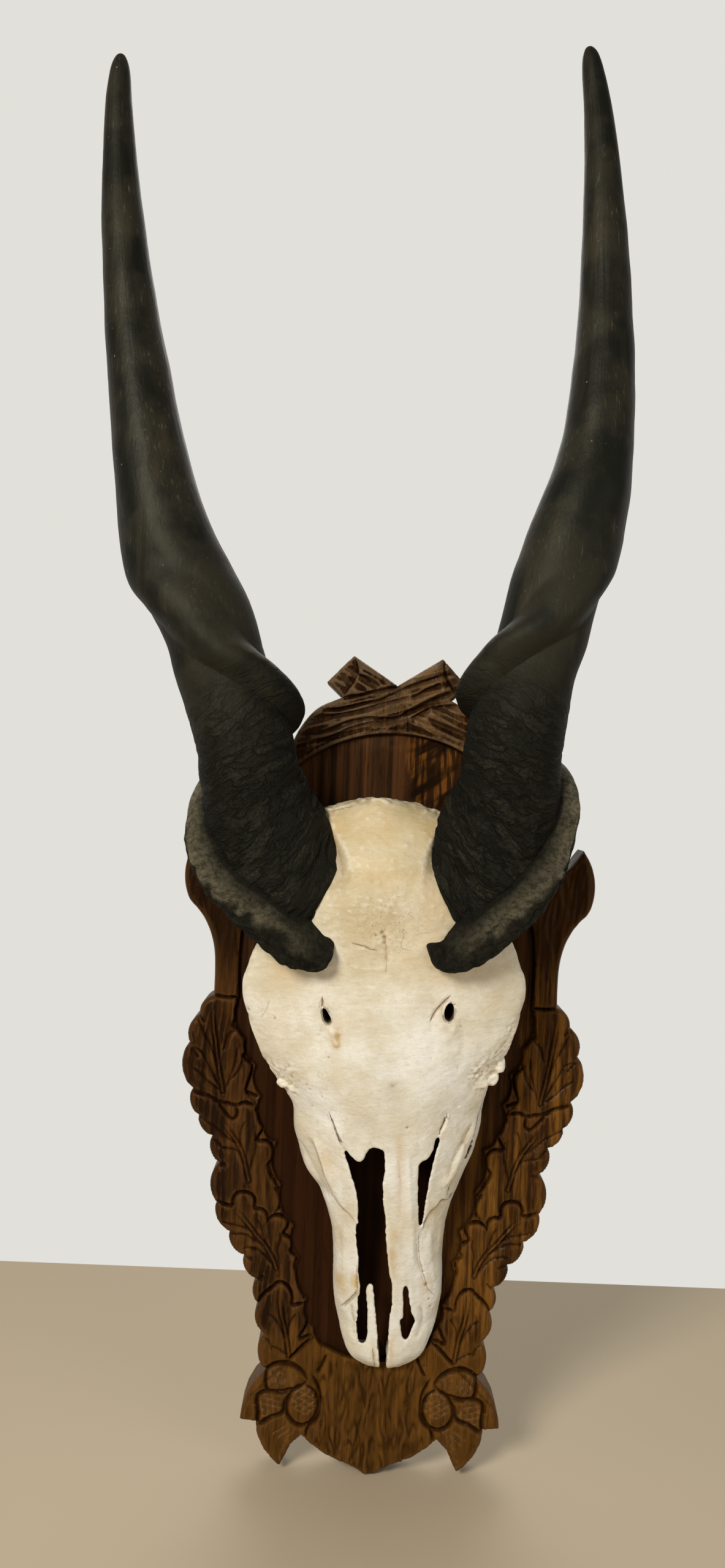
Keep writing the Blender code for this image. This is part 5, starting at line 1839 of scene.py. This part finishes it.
# %% Bone
def paint_bone(finish):
    graph = Graph(finish)
    noise, ramp, number, tint = graph.noise, graph.ramp, graph.number, graph.tint
    _, _, z = graph.axes()
    patch = ramp(noise(24, detail=6, rough=0.65), 0.34, 0.66)
    muzzle = graph.mix(patch, colour(220, 211, 187), colour(240, 238, 228))
    crown = graph.mix(patch, colour(188, 170, 128), colour(211, 197, 163))
    tone = graph.mix(ramp(z, 0.0, 0.17), muzzle, crown)
    tone = tint(tone, number("yellow") * ramp(noise(60), 0.2, 0.62), 0.9, 200, 168, 110)
    tone = tint(tone, number("pink"), 0.45, 212, 172, 130)
    tone = tint(tone, number("grey"), 0.4, 176, 168, 150)
    # Fine crosswise mottling, and dark pores where the bone is porous
    mottle = ramp(noise(230, (0.75, 1, 1.2), 6, 0.7), 0.52, 0.72)
    tone = tint(tone, mottle, 0.4, 198, 182, 146)
    tone = tint(tone, ramp(noise(900, detail=2), 0.62, 0.8), 0.7, 196, 172, 132)
    pores = ramp(noise(700, detail=1, rough=0.5), 0.58, 0.74) * number("porous")
    tone = tint(tone, pores, 0.7, 156, 126, 80)
    # painted shade in hollows and a painted highlight on ridges, both from the relief
    tone = tint(tone, ramp(number("relief"), -0.05, -0.34), 0.5, 164, 134, 90)
    tone = tint(tone, ramp(number("relief"), 0.04, 0.28), 0.35, 240, 233, 214)
    # dirt round pores and holes, and painted shade in the hollows beside the horns
    tone = tint(tone, number("dirt_and_shade"), 0.8, 96, 68, 40)
    # A hairline runs where the signed distance to a crack passes zero, a little unsteadily
    offset = abs(number("crack") + (noise(280, detail=3) - 0.5) * 2.2)
    width = ramp(noise(110), 0.3, 0.7) * 0.45 + 0.22
    hair = ramp(graph.math("DIVIDE", offset, width), 1.3, 0.3)
    hair = graph.math("MULTIPLY", hair, number("cracked"), clamp=True)
    tone = tint(tone, hair, 0.85, 84, 58, 32)
    # painted shade inside the nose and the brow holes
    tone = tint(tone, number("inner"), 0.85, 92, 72, 48)
    fine = graph.bump(noise(1500, detail=2), 0.25, 0.0004)
    grain = graph.bump(noise(330, (0.75, 1, 1.2), 6, 0.65), 0.5, 0.0012, fine)
    graph.surface({
        "Base Color": tone,
        "Normal": graph.bump(1.0 - (pores * 0.4 + hair), 0.5, 0.0008, grain),
        "Roughness": 0.5,
        "Specular IOR Level": 0.35,
    })


paint_bone(bone)

# %% Horn
def paint_horn(finish):
    graph = Graph(finish)
    noise, ramp, number, tint = graph.noise, graph.ramp, graph.number, graph.tint
    patch = noise(22, detail=4)
    tone = graph.mix(ramp(patch, 0.38, 0.62), colour(19, 20, 16), colour(40, 37, 28))
    tone = tint(tone, ramp(noise(60, (1, 1, 0.06), 5, 0.6), 0.5, 0.75), 0.5, 58, 51, 38)
    low = ramp(number("along"), 330.0, 230.0)
    tone = tint(tone, low, 0.85, 12, 13, 9)
    # Fine wrinkles follow the horn round, but not on the keel's bark
    skin = graph.vector("skin")
    wrinkle = noise(170, (0.28, 0.28, 1), 3, 0.55, 0.4, at=skin)
    small = noise(420, (0.4, 0.4, 1), 3, 0.6, 0.4, at=skin)
    leather = noise(520, detail=4, rough=0.6)
    plain = low * (1.0 - number("bark"))
    crease = graph.thin_lines(wrinkle, 0.045) * plain
    tight = graph.thin_lines(small, 0.05) * plain
    # painted highlight on the crests of the folds
    crest = ramp(wrinkle, 0.53, 0.62) * plain * ramp(leather, 0.40, 0.62)
    tone = tint(tone, crest, 0.5, 50, 49, 37)
    # The keel's light upper band, partly paler bark and partly a painted highlight on its upper
    # flank, and its mottled, split bark
    mottle = ramp(noise(260, detail=6, rough=0.7), 0.36, 0.64)
    light = number("upper") * low * (0.3 + mottle * 0.7)
    tone = graph.mix(light, tone, colour(142, 132, 104))
    tone = tint(tone, number("bark") * mottle, 0.35, 62, 58, 46)
    split = graph.thin_lines(noise(85, (0.8, 0.8, 1.2), 4, 0.6, 0.5), 0.022) * number("bark")
    tone = tint(tone, split, 0.25, 12, 11, 8)
    # Painted shade darkens hollows and creases; the same mark darkens the bark's cracks
    tone = tint(tone, ramp(number("relief"), -0.03, -0.26), 0.6, 9, 9, 7)
    tone = tint(tone, graph.math("MAXIMUM", crease, tight * 0.35), 0.45, 7, 7, 6)
    tone = tint(tone, number("deep"), 0.8, 7, 7, 6)
    # The upper horn is glossy, flecked and scraped lengthways
    gloss = ramp(number("along"), 250.0, 480.0)
    tone = tint(tone, ramp(noise(300, detail=1), 0.77, 0.81) * gloss, 0.4, 150, 142, 122)
    scrape = ramp(noise(620, (1, 1, 0.05), 3, 0.6), 0.58, 0.72) * (ramp(patch, 0.4, 0.6) * gloss)
    tone = tint(tone, scrape, 0.4, 104, 98, 80)
    fine = graph.bump(noise(700, (1, 1, 0.5), 4), 0.35, 0.0006)
    long_lines = graph.bump(noise(330, (1, 1, 0.05), 3), 0.3, 0.0006, fine)
    folds = (wrinkle * 2.4 - crease) + (small - tight * 0.3)
    bark = noise(190, detail=7, rough=0.75) * 4.0 - split * 1.2
    rugged = (graph.mix(number("bark"), folds, bark) + leather * 0.35) * low
    graph.surface({
        "Base Color": tone,
        "Roughness": 0.66 - gloss * 0.2,
        "Specular IOR Level": 0.17,
        "Specular Tint": colour(250, 245, 215),
        "Normal": graph.bump(rugged, 0.8, 0.0015, long_lines),
    })


paint_horn(horn_skin)

# %% Oak
def flame_figure(graph, tone, x, z):
    """The wild grain at the panel's top right: dark slanting bands with golden strokes."""
    noise, ramp = graph.noise, graph.ramp
    bands = noise(58, (1.3, 1, 0.3), 3, 0.5, 0.6, (0, math.radians(48), 0))
    strokes = ramp(noise(330, (1, 1, 0.11), 3, 0.5), 0.46, 0.62)
    figure = graph.mix(strokes, colour(42, 24, 11), colour(112, 68, 24))
    figure = graph.mix(ramp(bands, 0.42, 0.56), figure, colour(14, 8, 5))
    zone = ramp(x, 0.002, 0.016) * ramp(z, 0.165, 0.20) * graph.number("panel")
    return graph.mix(zone * 0.9, tone, figure)


def paint_oak(finish):
    graph = Graph(finish)
    noise, ramp, number, tint = graph.noise, graph.ramp, graph.number, graph.tint
    x, _, z = graph.axes()
    grain = noise(150, (1, 0.6, 0.055), 6, 0.62, 0.4)
    cloud = noise(34, (1, 0.6, 0.3), 4, 0.6, 0.5)
    golden = ramp(x + z * -0.25, -0.12, 0.13)
    dark = graph.mix(golden, colour(26, 14, 7), colour(42, 24, 9))
    light = graph.mix(golden, colour(76, 48, 20), colour(114, 75, 27))
    tone = graph.mix(ramp(grain, 0.40, 0.64), dark, light)
    # Each hollow of the gouged arch gets a random lighter and darker tone: painted light and shade
    # of its facets
    tone = tint(tone, ramp(number("facet"), -0.1, 0.9), 0.42, 128, 98, 66)
    tone = tint(tone, ramp(number("facet"), -0.1, -0.9), 0.55, 34, 19, 10)
    tone = graph.mix(ramp(cloud, 0.46, 0.64) * 0.6, tone, dark)
    foot = ramp(z, -0.196, -0.216)
    tone = tint(tone, foot, 0.55, 92, 60, 20)
    # painted shade in the foot's furrows
    tone = graph.mix(number("furrow") * (0.85 - foot * 0.4), tone, colour(22, 11, 5))
    shaded = ramp(z, 0.05, 0.10) * ramp(z, 0.235, 0.20)
    tone = graph.mix(shaded * 0.85, tone, dark)
    # Ridges get a painted highlight, paler on the arch, and hollows painted shade; scratches are
    # light wood
    arch = ramp(z, 0.232, 0.25)
    painted_highlight = graph.mix(arch, colour(112, 74, 36), colour(150, 122, 88))
    ridge = ramp(number("relief"), 0.08, 0.4) * ramp(cloud, 0.3, 0.6)
    tone = graph.mix(ridge * (0.3 + arch * 0.05), tone, painted_highlight)
    tone = tint(tone, number("scratch") * ramp(noise(300), 0.3, 0.6), 0.5, 140, 104, 64)
    hollow = ramp(number("relief"), -0.06, -0.4) * (0.4 - arch * 0.2)
    tone = graph.mix(hollow, tone, colour(26, 12, 5))
    # The panel: straight stripes, near-black red beside the muzzle, partly darker stain and partly
    # painted shade of the skull, wild grain at the top
    panel = number("panel")
    stripe = ramp(noise(190, (1, 0.5, 0.012), 4, 0.55, 0.1), 0.38, 0.62)
    stripes = graph.mix(stripe, colour(44, 28, 16), colour(86, 54, 30))
    beside = ramp(x, 0.060, 0.035)
    tone = graph.mix(panel * (0.3 + beside * 0.45), tone, stripes)
    red = panel * ramp(z, 0.12, -0.02) * graph.math("MAXIMUM", beside, 0.25)
    tone = tint(tone, red, 0.78, 32, 12, 4)
    tone = flame_figure(graph, tone, x, z)
    tone = tint(tone, ramp(noise(900, (1, 1, 0.05), 2, 0.5), 0.58, 0.7), 0.5, 18, 9, 5)
    # painted shade in the cuts, the punched dots and at the foot of the panel's wall
    tone = tint(tone, number("deep"), 0.65, 24, 9, 4)
    lines = graph.bump(noise(420, (1, 1, 0.06), 4), 0.3, 0.0006)
    graph.surface({
        "Base Color": tone,
        "Roughness": 0.34 + noise(200) * 0.25,
        "Specular IOR Level": 0.1,
        "Specular Tint": colour(205, 158, 112),
        "Coat Weight": 0.03,
        "Coat Roughness": 0.15,
        "Normal": graph.bump(noise(120, (1, 1, 0.4), 4), 0.25, 0.002, lines),
    })


paint_oak(oak)

# %% [markdown]
# ## Hand the pieces over
#
# Each mesh takes the place of one imported solid and rides with the trophy's only body.

# %% Each piece takes its solid's place
for thing, node, slot in [
    (board, "board", "stained oak"), (skull, "skull", "bleached bone"),
    (horns[0], "horn_left", "dark horn"), (horns[1], "horn_right", "dark horn"),
]:
    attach(thing, "root")
    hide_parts(node)

# %% [markdown]
# ## Floor, light and camera
#
# The trophy stands on the floor before a pale wall. A pale floor that ends a little
# behind it gives that look, with the pale world as the wall, and hides nothing from
# behind. The camera stands close, like a phone held at the height of the forehead.

# %% Stage
FLOOR = -0.3125            # just under the foot of the board, in metres


def build_floor():
    finish = bpy.data.materials.new("pale floor")
    Graph(finish).surface({"Base Color": colour(192, 174, 144), "Roughness": 0.6})
    side, ahead, behind = 2.2, -2.4, 0.34
    corners = [(-side, ahead), (side, ahead), (side, behind), (-side, behind)]
    mesh = bpy.data.meshes.new("floor")
    mesh.from_pydata([(x, y, FLOOR) for x, y in corners], [], [(0, 1, 2, 3)])
    mesh.materials.append(finish)
    return add_object("floor", mesh)


def add_light(name, spot, target, size, power, tint):
    lamp = bpy.data.lights.new(name, "AREA")
    lamp.shape = "DISK"
    lamp.size = size
    lamp.energy = power
    lamp.color = tint
    made = add_object(name, lamp)
    made.location = spot
    made.rotation_euler = (Vector(target) - Vector(spot)).to_track_quat("-Z", "Y").to_euler()
    return made


def build_world():
    """A sky that is bright behind the trophy, like a lit wall, and dim elsewhere."""
    world = bpy.data.worlds.new("studio")
    bpy.context.scene.world = world
    graph = Graph(world)
    direction = Value(graph, graph.add("ShaderNodeTexCoord").outputs["Generated"])
    _, behind, _ = graph.axes(direction)
    tone = graph.mix(graph.ramp(behind, 0.15, 0.65), colour(92, 91, 89), colour(226, 224, 218))
    graph.feed(graph.tree.nodes["Background"].inputs["Color"], tone)


build_world()
bpy.context.scene.view_settings.view_transform = "Standard"
middle = (0.0, -0.05, 0.15)
stage = [
    build_floor(),
    add_light("key light", (-0.95, -1.75, 1.05), middle, 0.7, 42, (1.0, 0.98, 0.95)),
    add_light("fill light", (1.5, -1.5, 0.3), middle, 1.5, 12, (0.97, 0.98, 1.0)),
    add_light("back light", (0.0, 1.5, 1.4), middle, 1.2, 9, (1.0, 0.98, 0.95)),
]
for thing in stage:
    thing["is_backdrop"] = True

# %% Camera
lens = bpy.data.cameras.new("camera")
lens.lens = 27.056
lens.sensor_width = 36.0
camera = add_object("camera", lens)
camera.matrix_world = (
    Matrix.Translation((-0.0240, -0.930, 0.216))
    @ Matrix.Rotation(math.radians(-2.2), 4, "Y")
    @ Matrix.Rotation(math.radians(90.0), 4, "X")
)
bpy.context.scene.camera = camera

# %% Measure and finish
new_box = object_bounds()
for label, box in (("CAD", cad_box), ("visual", new_box)):
    print(label, "box:", [[round(value, 4) for value in corner] for corner in box])
